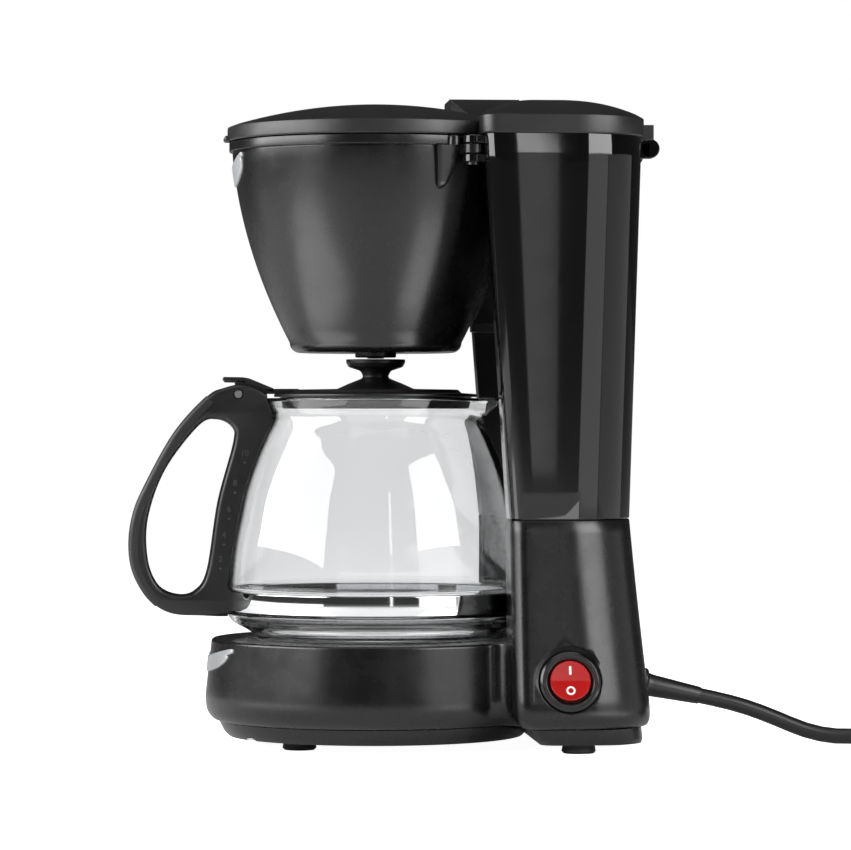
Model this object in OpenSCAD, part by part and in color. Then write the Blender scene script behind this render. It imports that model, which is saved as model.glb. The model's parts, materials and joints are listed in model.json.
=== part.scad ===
// Drip coffee maker with a swing-out filter basket, a rear-hinged lid and a glass carafe.
// Millimetres. +Z is up, the front (carafe handle) is towards -Y, the switch is on the +X side.
// The origin is on the surface the feet stand on, midway between the handle and the lid hinge.

/* [Base] */
// Radius of the round front of the base, at its widest
base_r = 67; // [66:0.5:68]
// Half width of the base at its widest, low at the rear
base_half_w = 70; // [69:0.5:71]
// Height of the seam between the base housing and the bottom cover
seam_z = 9.5; // [9:0.5:10]
// Height of the top face of the base
base_top = 41.2; // [41:0.1:41.4]
// Height of the top of the column that carries the tank
column_top = 88.2; // [84:0.2:92]
// Thickness of the moulded walls
wall = 2.2; // [1.8:0.1:2.4]
// Radius of a rubber foot
foot_r = 6.5; // [6:0.5:8]

/* [Water tank] */
// Height of the open rim of the tank
tank_top = 233.7; // [233.5:0.1:233.7]
// Half width of the tank at its rim
tank_half_w = 61; // [60:0.5:62]
// Radius of the hollow in the front of the tower, about the brew axis
recess_r = 60; // [59.8:0.1:60.2]

/* [Top lid] */
// Height of the lower edge of the lid
lid_z = 234; // [234:0.1:234.2]
// Radius of the round part of the lid over the basket
lid_r = 57.7; // [57.2:0.1:58]
// Height of the highest point of the lid
lid_top = 250.3; // [249:0.1:252]

/* [Filter basket] */
// Radius of the rim of the basket
basket_r = 57; // [56.6:0.1:57.2]
// Height of the underside of the basket
basket_bottom = 152; // [152:0.1:152.2]
// Radius of the pin that the basket swings on
pivot_pin_r = 1.6; // [1.4:0.1:2]

/* [Carafe] */
// Radius of the glass at its widest
glass_r = 58; // [57:0.5:58]
// Thickness of the glass
glass_wall = 2.2; // [1.8:0.1:2.6]
// Height of the rim of the glass
rim_z = 134.4; // [134:0.1:134.6]
// Width of the carafe handle across the machine
handle_w = 16; // [14:1:20]

/* [Switch] */
// Diameter of the bezel of the round rocker switch
bezel_d = 23; // [22:0.5:24]
// Diameter of the rocker
rocker_d = 15.4; // [15:0.1:15.6]

/* [Cord] */
// Diameter of the mains cord
cord_d = 6; // [5.8:0.1:6]

/* [Hidden] */
$fn = 96;
eps = 0.01;

// The brew axis: basket, carafe and warming plate are all centred on it
brew_y = -6;
gap = 0.3;
fit = 0.05;

// Base outline: half width, rear face and front radius at the seam shoulder and at the top
shoulder_z = seam_z + 3.5;
seam_inset = 5.5;
cover_z = 3.5;
base_top_r = base_r - 3.2;
base_top_half_w = base_half_w - 6;
base_rear = 102.4;
base_top_rear = 99.6;
base_corner = 28;
column_low_half_w = base_top_half_w - 0.4;
column_low_rear = base_top_rear - 0.4;
column_rear = 95.7;
column_half_w = 56;
wing_s = 47.5;
tank_wing_s = 37;
tank_rear = 99.8;
tank_floor = column_top + wall;

// Screws and feet, as [x, distance behind the brew axis]
screw_spots = [[28, -48], [-28, -48], [56, 86], [-56, 86]];
foot_spots = [[28, -31], [-28, -31], [52, 73.5], [-52, 73.5]];
tank_screw_spots = [[34, 78], [-34, 78], [0, 86]];

// Warming plate and the heater under it
plate_r = 48.7;
plate_z = base_top + gap;
plate_under = base_top - 2;
tube_r = 4.6;
tube_loop = 34;
element_r = 3.6;
tube_z = base_top - 9.6;
element_z = plate_under - element_r - fit;
element_loop = tube_loop - sqrt(pow(tube_r + element_r + fit, 2) - pow(element_z - tube_z, 2));
clamp_z = 25.2;

// Hot water line
inlet_x = -24;
inlet_s = 70;
riser_s = 72;
riser_r = 4.5;
hose_r = 6.2;
hose_bore_r = 4.75;

// Switch: it stands square to the sloping side wall, in an arched pocket
switch_s = 68.7;
switch_z = 28;
switch_tilt = atan2(base_half_w - base_top_half_w, base_top - shoulder_z);
switch_x = lerp(base_half_w, base_top_half_w, base_t(switch_z));
pocket_r = 13.6;
pocket_depth = 1.7;
bezel_proud = 0.9;
rocker_depth = 2.9;

// Lid hinge at the rear of the tank rim
hinge_s = 104.3;
hinge_z = 230.5;
hinge_r = 3.7;
hinge_pin_r = 1.2;
barrel_half = 21;

// Lid: top of the skirt of its round part, and how far the dome rises above it
lid_skirt_z = lid_z + 5.4;
lid_rise = 9;
beak_s = 28;
beak_front_w = 13;
beak_rear_w = 30;
beak_ridge_len = 27;

// Basket pivot on the switch-side wing of the tower
pivot_x = 52;
pivot_s = 33.5;
pivot_r = 4;
knuckle_z0 = 226.6;
knuckle_z1 = 230.2;

// Basket wall: a parabola from the rim down
basket_top = 233.7;
band_z = 229.3;
basket_top_r = 55.8;
basket_slope = 0.087;
basket_curve = 0.00296;

// Carafe: control points of the outside of the glass, as [radius, height]
foot_z = plate_z + gap;
glass_low = [[43, foot_z], [46, foot_z + 0.3], [50.5, 44.9], [55.5, 47.6], [glass_r, 50.9]];
glass_high = [[glass_r - 0.3, 60.4], [glass_r, 63.5], [56.6, 76.8], [54.6, 87], [52, 98.7],
    [48.4, 109.5], [44.6, 118.5], [41.8, 124.6], [41, 128], [42.2, 131.5], [42.9, rim_z - 0.8]];
band_z0 = 52;
band_z1 = 59.5;
groove_r = 56.4;

// Handle: control points of the D, as [distance behind the brew axis, height]
handle_outer = [[-36, 131], [-43.7, 136.9], [-51.5, 139.7], [-59, 138.4], [-65.6, 135],
    [-78.5, 120.6], [-90.4, 99], [-94.6, 88], [-95.9, 76.7], [-94.2, 66.5], [-88.3, 56.6],
    [-80, 51.2], [-68, 50.2], [-56, 50.2], [-50, 54], [-50, 75], [-44, 103], [-38, 122]];
handle_hole = [[-61.9, 126.1], [-56, 123.2], [-55.4, 117], [-61.5, 94.1], [-65.7, 67.6],
    [-70.5, 59.6], [-77.2, 58.2], [-84.5, 61.8], [-88.6, 72], [-88.6, 87.8], [-82, 106.6],
    [-69, 123.7]];
grip_depth = 3.4;
lid_pin_s = -53.8;
lid_pin_z = 135.9;
lid_pin_r = 1.5;

// Cord: the route's own points from the strain relief to the coil, then the coil and the plug
cord_x = 17;
cord_exit_z = 24;
base_cord_wall = 101.2;
cord_drop = 12;
relief_len = 24;
cord_route = [[17, 118.7, 19], [17, 124.6, 17.7], [17, 130.5, 16.3], [17.1, 136.4, 14.6],
    [17.2, 142.2, 12.6], [17.4, 148, 10.3], [17.7, 154, 7.8], [18, 160, 5.5], [18.4, 166, 3.9],
    [18.8, 172, 3.1], [19.2, 178, 3], [19.6, 186, 3], [19.9, 195, 3], [20, 204, 3]];
coil_c = [-17, 228];
coil_in_r = 28;
coil_out_r = 40;
coil_h = 12;
coil_end_x = -46;
plug_y = coil_c[1] + 34;
plug_z = 8.5;

// ---- Functions ----
function lerp(a, b, t) = a + (b - a) * t;
function base_t(z) = (z - shoulder_z) / (base_top - shoulder_z);
function column_t(z) = (z - base_top) / (column_top - base_top);
function tank_t(z) = (z - column_top) / (tank_top - column_top);
function basket_radius(z) = basket_top_r - basket_slope * (band_z - z)
    - basket_curve * (band_z - z) * (band_z - z);

// A smooth curve through control points (Catmull-Rom), open or closed
function mid_point(p0, p1, p2, p3, t) = 0.5 * (2 * p1 + (p2 - p0) * t
    + (2 * p0 - 5 * p1 + 4 * p2 - p3) * t * t + (3 * p1 - p0 - 3 * p2 + p3) * t * t * t);
function closed_curve(p, steps) = let (n = len(p)) [for (i = [0:n - 1], k = [0:steps - 1])
    mid_point(p[(i + n - 1) % n], p[i], p[(i + 1) % n], p[(i + 2) % n], k / steps)];
function open_curve(p, steps) = let (n = len(p)) concat([for (i = [0:n - 2], k = [0:steps - 1])
    mid_point(p[max(i - 1, 0)], p[i], p[i + 1], p[min(i + 2, n - 1)], k / steps)], [p[n - 1]]);

// Moves every point of a closed outline sideways by d
function unit(v) = v / norm(v);
function shifted(p, d) = let (n = len(p)) [for (i = [0:n - 1])
    let (t = unit(p[(i + 1) % n] - p[(i + n - 1) % n])) p[i] + d * [t[1], -t[0]]];

// ---- Helpers ----
module at_brew() { translate([0, brew_y, 0]) children(); }

module ring(r_out, r_in, z0, z1) {
    translate([0, 0, z0]) difference() {
        cylinder(r = r_out, h = z1 - z0);
        translate([0, 0, -1]) cylinder(r = r_in, h = z1 - z0 + 2);
    }
}

module disc(r, z0, z1) { translate([0, 0, z0]) cylinder(r = r, h = z1 - z0); }

module along_x(r, x0, x1) { translate([x0, 0, 0]) rotate([0, 90, 0]) cylinder(r = r, h = x1 - x0); }

module along_y(r, y0, y1) { translate([0, y0, 0]) rotate([-90, 0, 0]) cylinder(r = r, h = y1 - y0); }

// A tube swept along a route, one ring of points at each route point
module swept_tube(route, r, sides, flat_way = [0, 0, 1]) {
    n = len(route);
    frames = [for (i = [0:n - 1]) let (t = unit(route[min(i + 1, n - 1)] - route[max(i - 1, 0)]),
        side = unit(cross(t, flat_way)), up = cross(side, t)) [side, up]];
    points = [for (i = [0:n - 1], k = [0:sides - 1])
        route[i] + r * (cos(k * 360 / sides) * frames[i][0] + sin(k * 360 / sides) * frames[i][1])];
    walls = [for (i = [0:n - 2], k = [0:sides - 1])
        [i * sides + k, i * sides + (k + 1) % sides, (i + 1) * sides + (k + 1) % sides,
        (i + 1) * sides + k]];
    start_cap = [for (k = [sides - 1:-1:0]) k];
    end_cap = [for (k = [0:sides - 1]) (n - 1) * sides + k];
    polyhedron(points, concat([start_cap], walls, [end_cap]));
}

// A hollow hose along a smooth curve through control points
module hose(points, r_out, r_in) {
    route = open_curve(points, 4);
    n = len(route);
    difference() {
        swept_tube(route, r_out, 20, [1, 0.2, 0]);
        swept_tube(concat([route[0] + 0.5 * unit(route[0] - route[1])], [for (i = [1:n - 2]) route[i]],
            [route[n - 1] + 0.5 * unit(route[n - 1] - route[n - 2])]), r_in, 20, [1, 0.2, 0]);
    }
}

// ---- Outlines of the base, column and tank ----
// The base: a round front and a rear block behind it. Each level is [height, inset, how much
// further the rear stands out]
module base_shape(levels) {
    hull() for (l = levels) translate([0, 0, l[0]])
        cylinder(r = lerp(base_r, base_top_r, base_t(l[0])) - l[1], h = eps);
    hull() for (l = levels) let (t = base_t(l[0]))
        tower_slice(l[0], lerp(base_half_w, base_top_half_w, t) - l[1], wing_s + l[1],
            lerp(base_rear, base_top_rear, t) - l[1] + l[2], base_corner - l[1]);
}

// One thin slice of a tower: a block with round rear corners and small front ones
module tower_slice(z, half_w, front, rear, corner) {
    translate([0, 0, z]) for (sx = [-1, 1]) {
        translate([sx * (half_w - corner), rear - corner, 0]) cylinder(r = corner, h = eps, $fn = 48);
        translate([sx * (half_w - 6), front + 6, 0]) cylinder(r = 6, h = eps, $fn = 32);
    }
}

module column_block(z0, z1, inset) {
    hull() for (z = [z0, z1 - eps]) let (t = column_t(z))
        tower_slice(z, lerp(column_low_half_w, column_half_w, t) - inset, wing_s + inset,
            lerp(column_low_rear, column_rear, t) - inset, base_corner - inset);
}

module tank_block(z0, z1, inset) {
    hull() for (z = [z0, z1 - eps]) let (t = tank_t(z))
        tower_slice(z, lerp(column_half_w, tank_half_w, t) - inset, lerp(wing_s, tank_wing_s, t) + inset,
            lerp(column_rear, tank_rear, t) - inset, base_corner - inset);
}

// ---- Base ----
module base_housing() {
    color([0.05, 0.05, 0.055]) at_brew() difference() {
        union() {
            difference() {
                union() {
                    base_shape([[seam_z, seam_inset, 2], [shoulder_z, 0, 0], [base_top - eps, 0, 0]]);
                    difference() {
                        column_block(base_top - 1.6, column_top, 0);
                        disc(recess_r, base_top - 3, column_top + 1);
                    }
                }
                base_shape([[seam_z - 1, seam_inset + wall, 2], [base_top - wall - 0.8, wall, 0]]);
                difference() {
                    column_block(base_top - 6, column_top - wall, wall);
                    disc(recess_r + wall, base_top - 3, column_top);
                }
            }
            for (p = screw_spots) translate([p[0], p[1], 0]) disc(4, seam_z + 0.4, base_top - wall + 0.5);
            for (sx = [-1, 1]) translate([sx * 57.5 - 4, 84.5, 12]) cube([8, 3, 22]);
            ring(52.4, plate_r - 2.2, plate_under - 1, base_top - 1);
        }
        disc(plate_r + 1.5, plate_under - 1, base_top + 1);
        for (sx = [-1, 1]) translate([sx * tube_loop, 0, tube_z]) along_y(hose_r + 0.4, 44, 54);
        for (p = screw_spots) translate([p[0], p[1], 0]) disc(1.3, seam_z - 1, seam_z + 14);
        for (p = tank_screw_spots) translate([p[0], p[1], 0]) disc(1.7, column_top - 5, column_top + 1);
        translate([0, riser_s, 0]) disc(7.6, column_top - 5, column_top + 1);
        translate([inlet_x, inlet_s, 0]) disc(6.2, column_top - 5, column_top + 1);
        at_switch() {
            along_x(pocket_r, -pocket_depth, 8);
            along_x(10.2, -8, 8);
        }
        translate([cord_x, base_cord_wall, cord_exit_z]) rotate([-cord_drop, 0, 0]) {
            along_y(5, -14, 10);
            along_y(6.7, -0.4, 10);
        }
    }
}

module bottom_cover() {
    color([0.07, 0.07, 0.075]) at_brew() difference() {
        base_shape([[cover_z, seam_inset + 5.5, 6], [cover_z + 1.7, seam_inset + 3.5, 4.6],
            [seam_z - eps, seam_inset + 0.8, 2]]);
        base_shape([[cover_z + 2.5, seam_inset + 5.9, 4], [seam_z + 1, seam_inset + 2.9, 2]]);
        for (p = screw_spots) translate([p[0], p[1], 0]) {
            disc(1.5, 2, 8);
            disc(3.4, 2, 4.6);
        }
        for (p = foot_spots) translate([p[0], p[1], 0]) disc(2.05, 2, 8);
        for (k = [-4:4]) translate([k * 7 - 1.5, 20, 2]) cube([3, 26, 6]);
    }
}

module rubber_feet() {
    color([0.09, 0.09, 0.09]) at_brew() for (p = foot_spots) translate([p[0], p[1], 0]) {
        rotate_extrude($fn = 48) polygon([[0, 0], [foot_r - 0.8, 0], [foot_r, 0.8], [foot_r - 0.4, 3.5],
            [0, 3.5]]);
        disc(2, 3.4, 6.2);
        disc(2.9, 6, 7.2);
    }
}

module bottom_screws() {
    color([0.72, 0.73, 0.75]) at_brew() for (p = screw_spots) translate([p[0], p[1], 0]) difference() {
        union() {
            disc(3.1, 3.9, 4.6);
            disc(1.25, 4.5, seam_z + 10);
        }
        translate([-2, -0.4, 3.7]) cube([4, 0.8, 0.5]);
        translate([-0.4, -2, 3.7]) cube([0.8, 4, 0.5]);
    }
}

module base_badge() {
    top_z = 38.6;
    low_z = 28.6;
    half = 31;
    low_half = half - 3;
    side_z = top_z - 2.6;
    shape = concat([[-half, top_z], [half, top_z]], [for (k = [0:10]) let (x = low_half * (1 - k / 5))
        [x, side_z - (side_z - low_z) * sqrt(max(0, 1 - pow(x / low_half, 2)))]]);
    color([0.75, 0.76, 0.78]) at_brew() intersection() {
        front_skin(0.7, 20, base_top - 0.2);
        translate([0, -20, 0]) rotate([90, 0, 0]) linear_extrude(60) polygon(shape);
    }
}

// A thin skin over the tapered round front of the base
module front_skin(thick, z0, z1) {
    difference() {
        front_cone(thick, z0, z1);
        front_cone(0, z0 - 1, z1 + 1);
    }
}

module front_cone(grow, z0, z1) {
    translate([0, 0, z0]) cylinder(r1 = lerp(base_r, base_top_r, base_t(z0)) + grow,
        r2 = lerp(base_r, base_top_r, base_t(z1)) + grow, h = z1 - z0);
}

// ---- Warming plate and heater ----
module warming_plate() {
    color([0.10, 0.10, 0.11]) at_brew() rotate_extrude() polygon([[0, plate_under], [plate_r, plate_under],
        [plate_r, plate_z - 0.6], [plate_r - 0.6, plate_z], [46, plate_z], [45.4, plate_z - 0.5],
        [0, plate_z - 0.5]]);
}

module plate_seal() {
    color([0.07, 0.07, 0.075]) at_brew() rotate_extrude() polygon([[plate_r - 2, plate_under - 1],
        [plate_r + 1.5, plate_under - 1], [plate_r + 1.5, base_top], [plate_r + fit, base_top],
        [plate_r + fit, plate_under], [plate_r - 2, plate_under]]);
}

// A horseshoe: half a ring at the front and two straight legs to the rear
module horseshoe(loop, leg) {
    rotate([0, 0, 180]) rotate_extrude(angle = 180) translate([loop, 0]) children();
    for (sx = [-1, 1]) translate([sx * loop, 0, 0]) rotate([-90, 0, 0]) linear_extrude(leg) children();
}

module heater_water_tube() {
    color([0.80, 0.81, 0.82]) at_brew() translate([0, 0, tube_z])
        horseshoe(tube_loop, 46) difference() {
            circle(r = tube_r, $fn = 48);
            circle(r = tube_r - 1.1, $fn = 48);
        }
}

module heating_element() {
    color([0.62, 0.62, 0.64]) at_brew() translate([0, 0, element_z]) {
        horseshoe(element_loop, 34) circle(r = element_r, $fn = 48);
        for (sx = [-1, 1]) translate([sx * element_loop, 0, 0]) along_y(1.2, 33, 41, $fn = 24);
    }
}

module heater_clamp() {
    color([0.70, 0.71, 0.72]) at_brew() difference() {
        union() {
            translate([-42, -6, clamp_z]) cube([84, 12, 1.6]);
            for (sx = [-1, 1]) translate([sx * 41.2 - 0.8, -6, clamp_z])
                cube([1.6, 12, plate_under - clamp_z]);
        }
        disc(2.1, 20, 30);
    }
}

module clamp_nut() {
    color([0.78, 0.78, 0.80]) at_brew() {
        difference() {
            disc(4, clamp_z - 3.4, clamp_z, $fn = 6);
            disc(2 + fit, 20, 27);
        }
        disc(2, clamp_z - 5, plate_under);
    }
}

module thermostat() {
    color([0.85, 0.80, 0.70]) at_brew() translate([0, 22, 0]) {
        disc(8, 32, plate_under);
        disc(6.2, 26, 32.01);
        for (sx = [-1, 1]) translate([sx * 4 - 0.4, -3, 20]) cube([0.8, 6, 6.01]);
    }
}

module thermal_fuse() {
    color([0.88, 0.88, 0.84]) at_brew() translate([0, 0, 21]) {
        translate([14, 30, 0]) along_y(2, 0, 11, $fn = 32);
        translate([14, 30, 0]) along_y(0.5, -8, 24, $fn = 16);
    }
}

module check_valve() {
    color([0.85, 0.86, 0.88]) at_brew() translate([inlet_x, inlet_s, 0]) difference() {
        union() {
            disc(6.6, 62, 74);
            disc(4.4, 56, 62.01);
        }
        disc(5.05, 66, 75);
        disc(2.6, 55, 67);
    }
}

module inlet_hose() {
    color([0.86, 0.85, 0.82]) at_brew() hose([[inlet_x, inlet_s, 61.5], [inlet_x, inlet_s, 54],
        [inlet_x, inlet_s, 48], [-29, 67, 38], [-tube_loop, 57, tube_z + 0.6], [-tube_loop, 50, tube_z],
        [-tube_loop, 46, tube_z], [-tube_loop, 38, tube_z]], hose_r, hose_bore_r);
}

module outlet_hose() {
    color([0.86, 0.85, 0.82]) at_brew() hose([[tube_loop, 38, tube_z], [tube_loop, 46, tube_z],
        [tube_loop, 51, tube_z], [28, 61, 35], [12, 70, 46], [0, riser_s, 58], [0, riser_s, 67],
        [0, riser_s, 76]], hose_r, hose_bore_r);
}

module riser_tube() {
    color([0.88, 0.88, 0.86]) at_brew() translate([0, riser_s, 0]) ring(riser_r, 3.2, 67.5, 239);
}

module riser_grommet() {
    color([0.30, 0.30, 0.31]) at_brew() translate([0, riser_s, 0]) {
        ring(7.5, riser_r + fit, column_top - wall, tank_floor);
        ring(9, riser_r + fit, tank_floor, tank_floor + 3);
    }
}

// ---- Water tank ----
module water_tank() {
    color([0.03, 0.03, 0.035]) at_brew() difference() {
        union() {
            difference() {
                tank_block(column_top, tank_top, 0);
                difference() {
                    tank_block(tank_floor, tank_top + 1, wall);
                    disc(recess_r + wall, 80, tank_top + 2);
                }
                disc(recess_r, column_top - 1, tank_top + 1);
                translate([pivot_x, pivot_s, 0]) disc(pivot_r + 0.5, knuckle_z0 - gap, knuckle_z1 + gap);
            }
            for (p = tank_screw_spots) translate([p[0], p[1], 0]) disc(4, column_top + 1, tank_floor + 11);
            translate([inlet_x, inlet_s, 0]) disc(5, 70, tank_floor);
            hinge_lugs();
            pivot_brackets();
        }
        for (p = tank_screw_spots) translate([p[0], p[1], 0]) disc(1.3, column_top - 1, tank_floor + 9);
        translate([inlet_x, inlet_s, 0]) disc(3, 69, tank_floor + 1);
        translate([0, riser_s, 0]) disc(7.55, column_top - 1, tank_floor + 1);
        translate([pivot_x, pivot_s, 0]) disc(pivot_pin_r, 220, 240);
        translate([0, hinge_s, hinge_z]) along_x(hinge_pin_r, -40, 40);
    }
}

module hinge_lugs() {
    for (sx = [-1, 1]) translate([sx * (barrel_half + gap + 2.6) - 2.6, 0, 0]) {
        translate([0, hinge_s, hinge_z]) along_x(hinge_r, 0, 5.2, $fn = 48);
        translate([0, tank_rear - 1.6, hinge_z - hinge_r]) cube([5.2, hinge_s - tank_rear + 1.6, 6]);
    }
}

module pivot_brackets() {
    for (z = [knuckle_z0 - gap - 3, knuckle_z1 + gap]) {
        translate([pivot_x, pivot_s, z]) cylinder(r = pivot_r, h = 3, $fn = 48);
        translate([pivot_x - 3.4, pivot_s, z]) cube([7.2, 8, 3]);
    }
}

module tank_screws() {
    color([0.72, 0.73, 0.75]) at_brew() for (p = tank_screw_spots) translate([p[0], p[1], 0]) {
        disc(1.25, column_top - wall - 0.1, tank_floor + 7);
        disc(3, column_top - wall - 2, column_top - wall);
    }
}

module hot_water_spout() {
    color([0.86, 0.86, 0.84]) at_brew() difference() {
        union() {
            translate([0, riser_s, 0]) disc(7, 232, 243);
            translate([-6, 6, 236.6]) cube([12, riser_s - 6, 6]);
            translate([0, 6, 0]) disc(6, 236.6, 242.6);
            translate([-6, recess_r + 0.4, tank_top]) cube([12, 1.6, 3.2]);
        }
        translate([0, riser_s, 0]) disc(riser_r + fit, 231, 240);
        translate([-4, 6, 238]) cube([8, riser_s - 6, 3.2]);
        translate([0, 6, 0]) disc(4, 235, 241.2);
    }
}

module water_spreader() {
    color([0.80, 0.80, 0.80]) at_brew() translate([0, 6, 0]) {
        difference() {
            disc(15, 235, 236.6);
            disc(4, 234, 237);
            for (a = [0:45:315]) rotate([0, 0, a]) translate([10, 0, 0]) disc(1.4, 234, 237, $fn = 24);
        }
    }
}

// ---- Switch ----
// Puts children on the side wall: their +X points out of the wall, their origin is on its surface
module at_switch() {
    translate([switch_x, switch_s, switch_z]) rotate([0, -switch_tilt, 0]) children();
}

module switch_bezel() {
    color([0.06, 0.06, 0.06]) at_brew() at_switch() difference() {
        along_x(bezel_d / 2, -pocket_depth, bezel_proud);
        along_x(8.2, -pocket_depth - 1, bezel_proud + 1);
        translate([bezel_proud - 0.9, 0, 0]) rotate([0, 90, 0]) cylinder(r1 = 8.2, r2 = 9.2, h = 1);
    }
}

module switch_body() {
    color([0.12, 0.12, 0.13]) at_brew() at_switch() difference() {
        union() {
            along_x(10, -11, -pocket_depth);
            translate([-18, -8, -8]) cube([7.1, 16, 16]);
        }
        along_x(8.2, -5.4, 0);
    }
}

module switch_terminals() {
    color([0.80, 0.66, 0.30]) at_brew() at_switch()
        for (y = [-5, 0, 5]) translate([-25, y - 0.4, -2.4]) cube([7, 0.8, 4.8]);
}

module rocker() {
    color([0.80, 0.05, 0.06]) at_brew() at_switch() translate([-rocker_depth, 0, 0]) rotate([0, -6, 0]) {
        difference() {
            along_x(rocker_d / 2, -1.2, 4);
            for (m = [0, 1]) mirror([0, 0, m]) translate([3.2, -10, 0]) rotate([0, 5, 0])
                cube([4, 20, 10]);
        }
        along_y(0.9, -8.1, 8.1, $fn = 32);
    }
}

module live_wire() {
    color([0.50, 0.25, 0.10]) at_brew() swept_tube(open_curve([[cord_x, 90, cord_exit_z],
        [cord_x + 6, 84, 24], [32, 76, 24], [39.6, switch_s + 5, 23]], 4), 1.1, 8);
}

module heater_wire() {
    color([0.12, 0.25, 0.60]) at_brew() swept_tube(open_curve([[39.6, switch_s, 23], [32, 62, 23],
        [26, 54, 25], [element_loop, 50, 31], [element_loop, 46, element_z],
        [element_loop, 41.1, element_z]], 4), 1.1, 8);
}

// ---- Pins, stop and strain relief ----
module basket_pivot_pin() {
    color([0.75, 0.76, 0.78]) at_brew() translate([pivot_x, pivot_s, 0]) {
        disc(pivot_pin_r - fit, knuckle_z0 - gap - 3, knuckle_z1 + gap + 3);
        disc(2.6, knuckle_z0 - gap - 4, knuckle_z0 - gap - 3);
    }
}

module basket_stop() {
    color([0.06, 0.06, 0.06]) at_brew() difference() {
        translate([-35, 40, 160.8]) cube([8, 14.5, 3.4]);
        difference() {
            disc(recess_r + 20, 150, 170);
            disc(recess_r, 149, 171);
        }
    }
}

module lid_hinge_pin() {
    color([0.75, 0.76, 0.78]) at_brew() translate([0, hinge_s, hinge_z])
        along_x(hinge_pin_r - fit, -barrel_half - 3.6, barrel_half + 3.6, $fn = 48);
}

module strain_relief() {
    color([0.06, 0.06, 0.06]) at_brew() translate([cord_x, base_cord_wall, cord_exit_z])
        rotate([-cord_drop, 0, 0]) difference() {
            union() {
                along_y(4.9, -7, 0.5);
                along_y(6.4, 0.5, 3);
                rotate([-90, 0, 0]) cylinder(r1 = 4.6, r2 = 3.4, h = relief_len);
            }
            along_y(1.5, -8, -5);
        }
}

// ---- Cord, coil and plug ----
module cord_tube() {
    color([0.05, 0.05, 0.05]) swept_tube(cord_route, cord_d / 2, 10);
}

module cord_coil() {
    color([0.05, 0.05, 0.05]) {
        translate([coil_c[0], coil_c[1], 0]) ring(coil_out_r, coil_in_r, 0, coil_h);
        translate([cord_route[13][0] - cord_d / 2, cord_route[13][1], 0])
            cube([cord_d, coil_c[1] - cord_route[13][1], cord_d]);
        translate([coil_end_x, plug_y - cord_d / 2, coil_h - cord_d])
            cube([coil_c[0] - coil_end_x, cord_d, cord_d]);
    }
}

module plug_body() {
    color([0.05, 0.05, 0.05]) translate([coil_end_x, plug_y, plug_z]) {
        rotate([0, -90, 0]) cylinder(r1 = 4.2, r2 = 5.6, h = 20.1);
        hull() for (sy = [-1, 1]) {
            translate([0, sy * 6, 0]) along_x(6.5, -24, -20);
            translate([0, sy * 8.5, 0]) along_x(8.5, -44, -30);
        }
    }
}

module plug_pins() {
    color([0.80, 0.80, 0.78]) translate([coil_end_x - 44, plug_y, plug_z]) {
        for (sy = [-1, 1]) translate([0, sy * 9.5, 0]) plug_pin();
        translate([0, 0, 3]) plug_pin();
    }
}

module plug_pin() {
    along_x(2.4, -18, 0, $fn = 32);
    translate([-18, 0, 0]) rotate([0, -90, 0]) cylinder(r1 = 2.4, r2 = 1.5, h = 1, $fn = 32);
}

// ---- Top lid ----
// The round part over the basket: a low skirt and a shallow dome
module lid_dome(inset) {
    r = lid_r - inset;
    rotate_extrude() polygon(concat([[0, lid_z - 2 * inset], [r, lid_z - 2 * inset]],
        [for (k = [0:6]) let (q = 1 - k / 6) [r * q, lid_skirt_z - inset + lid_rise * (1 - q * q)]]));
}

// The part over the tank: a skirt under two crossed vaults
module lid_pillow(inset) {
    half_w = tank_half_w + 0.8 - inset;
    front = tank_wing_s - 0.8 + inset;
    rear = tank_rear + 0.8 - inset;
    rim = lid_z + 7 - inset;
    rise = lid_top - inset - rim;
    middle = (front + rear) / 2;
    intersection() {
        translate([0, 0, lid_z - 2 * inset]) linear_extrude(40)
            polygon(rounded_block(half_w, front, rear, 6, base_corner - inset));
        vault((rear - front) / 2, rise, middle, lid_top - inset);
        translate([0, middle, 0]) rotate([0, 0, 90]) vault(half_w, rise, 0, lid_top - inset);
    }
}

// A long cylinder along X whose top is at top_z and which falls by rise over half a width
module vault(half, rise, y, top_z) {
    r = (half * half + rise * rise) / (2 * rise);
    translate([0, y, top_z - r]) along_x(r, -90, 90);
}

// Plan outline of a tower: small front corners and large rear ones
function arc(cx, cy, r, a0, a1, n) = [for (k = [0:n]) let (a = lerp(a0, a1, k / n))
    [cx + r * cos(a), cy + r * sin(a)]];
function rounded_block(half_w, front, rear, r_front, r_rear) = concat(
    arc(half_w - r_front, front + r_front, r_front, -90, 0, 4),
    arc(half_w - r_rear, rear - r_rear, r_rear, 0, 90, 6),
    arc(r_rear - half_w, rear - r_rear, r_rear, 90, 180, 6),
    arc(r_front - half_w, front + r_front, r_front, 180, 270, 4));

// The raised cover over the hot water spout: a level ridge between two slopes
module beak_block(inset) {
    ridge = lid_top - 0.2 - inset;
    low = lid_z + 7.4 - inset;
    hull() {
        translate([inset - beak_front_w, beak_s + inset, low - 5]) cube([2 * (beak_front_w - inset), 4, 5]);
        translate([inset - beak_front_w, beak_s + inset, ridge - 4])
            cube([2 * (beak_front_w - inset), beak_ridge_len, 4]);
        translate([inset - beak_rear_w, beak_s + 8, low - 5]) cube([2 * (beak_rear_w - inset), 8, 5]);
    }
}

module top_lid() {
    color([0.10, 0.10, 0.105]) at_brew() difference() {
        union() {
            lid_dome(0);
            lid_pillow(0);
            translate([-7, -lid_r - 1.4, lid_z]) cube([14, 4, 2]);
        }
        lid_dome(wall);
        lid_pillow(wall);
        beak_block(wall);
        translate([-9, 30, lid_z - 1]) cube([18, 20, 9]);
        translate([-barrel_half - 7, tank_rear - 6, lid_z - 1]) cube([2 * barrel_half + 14, 12, 3.4]);
    }
}

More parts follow.
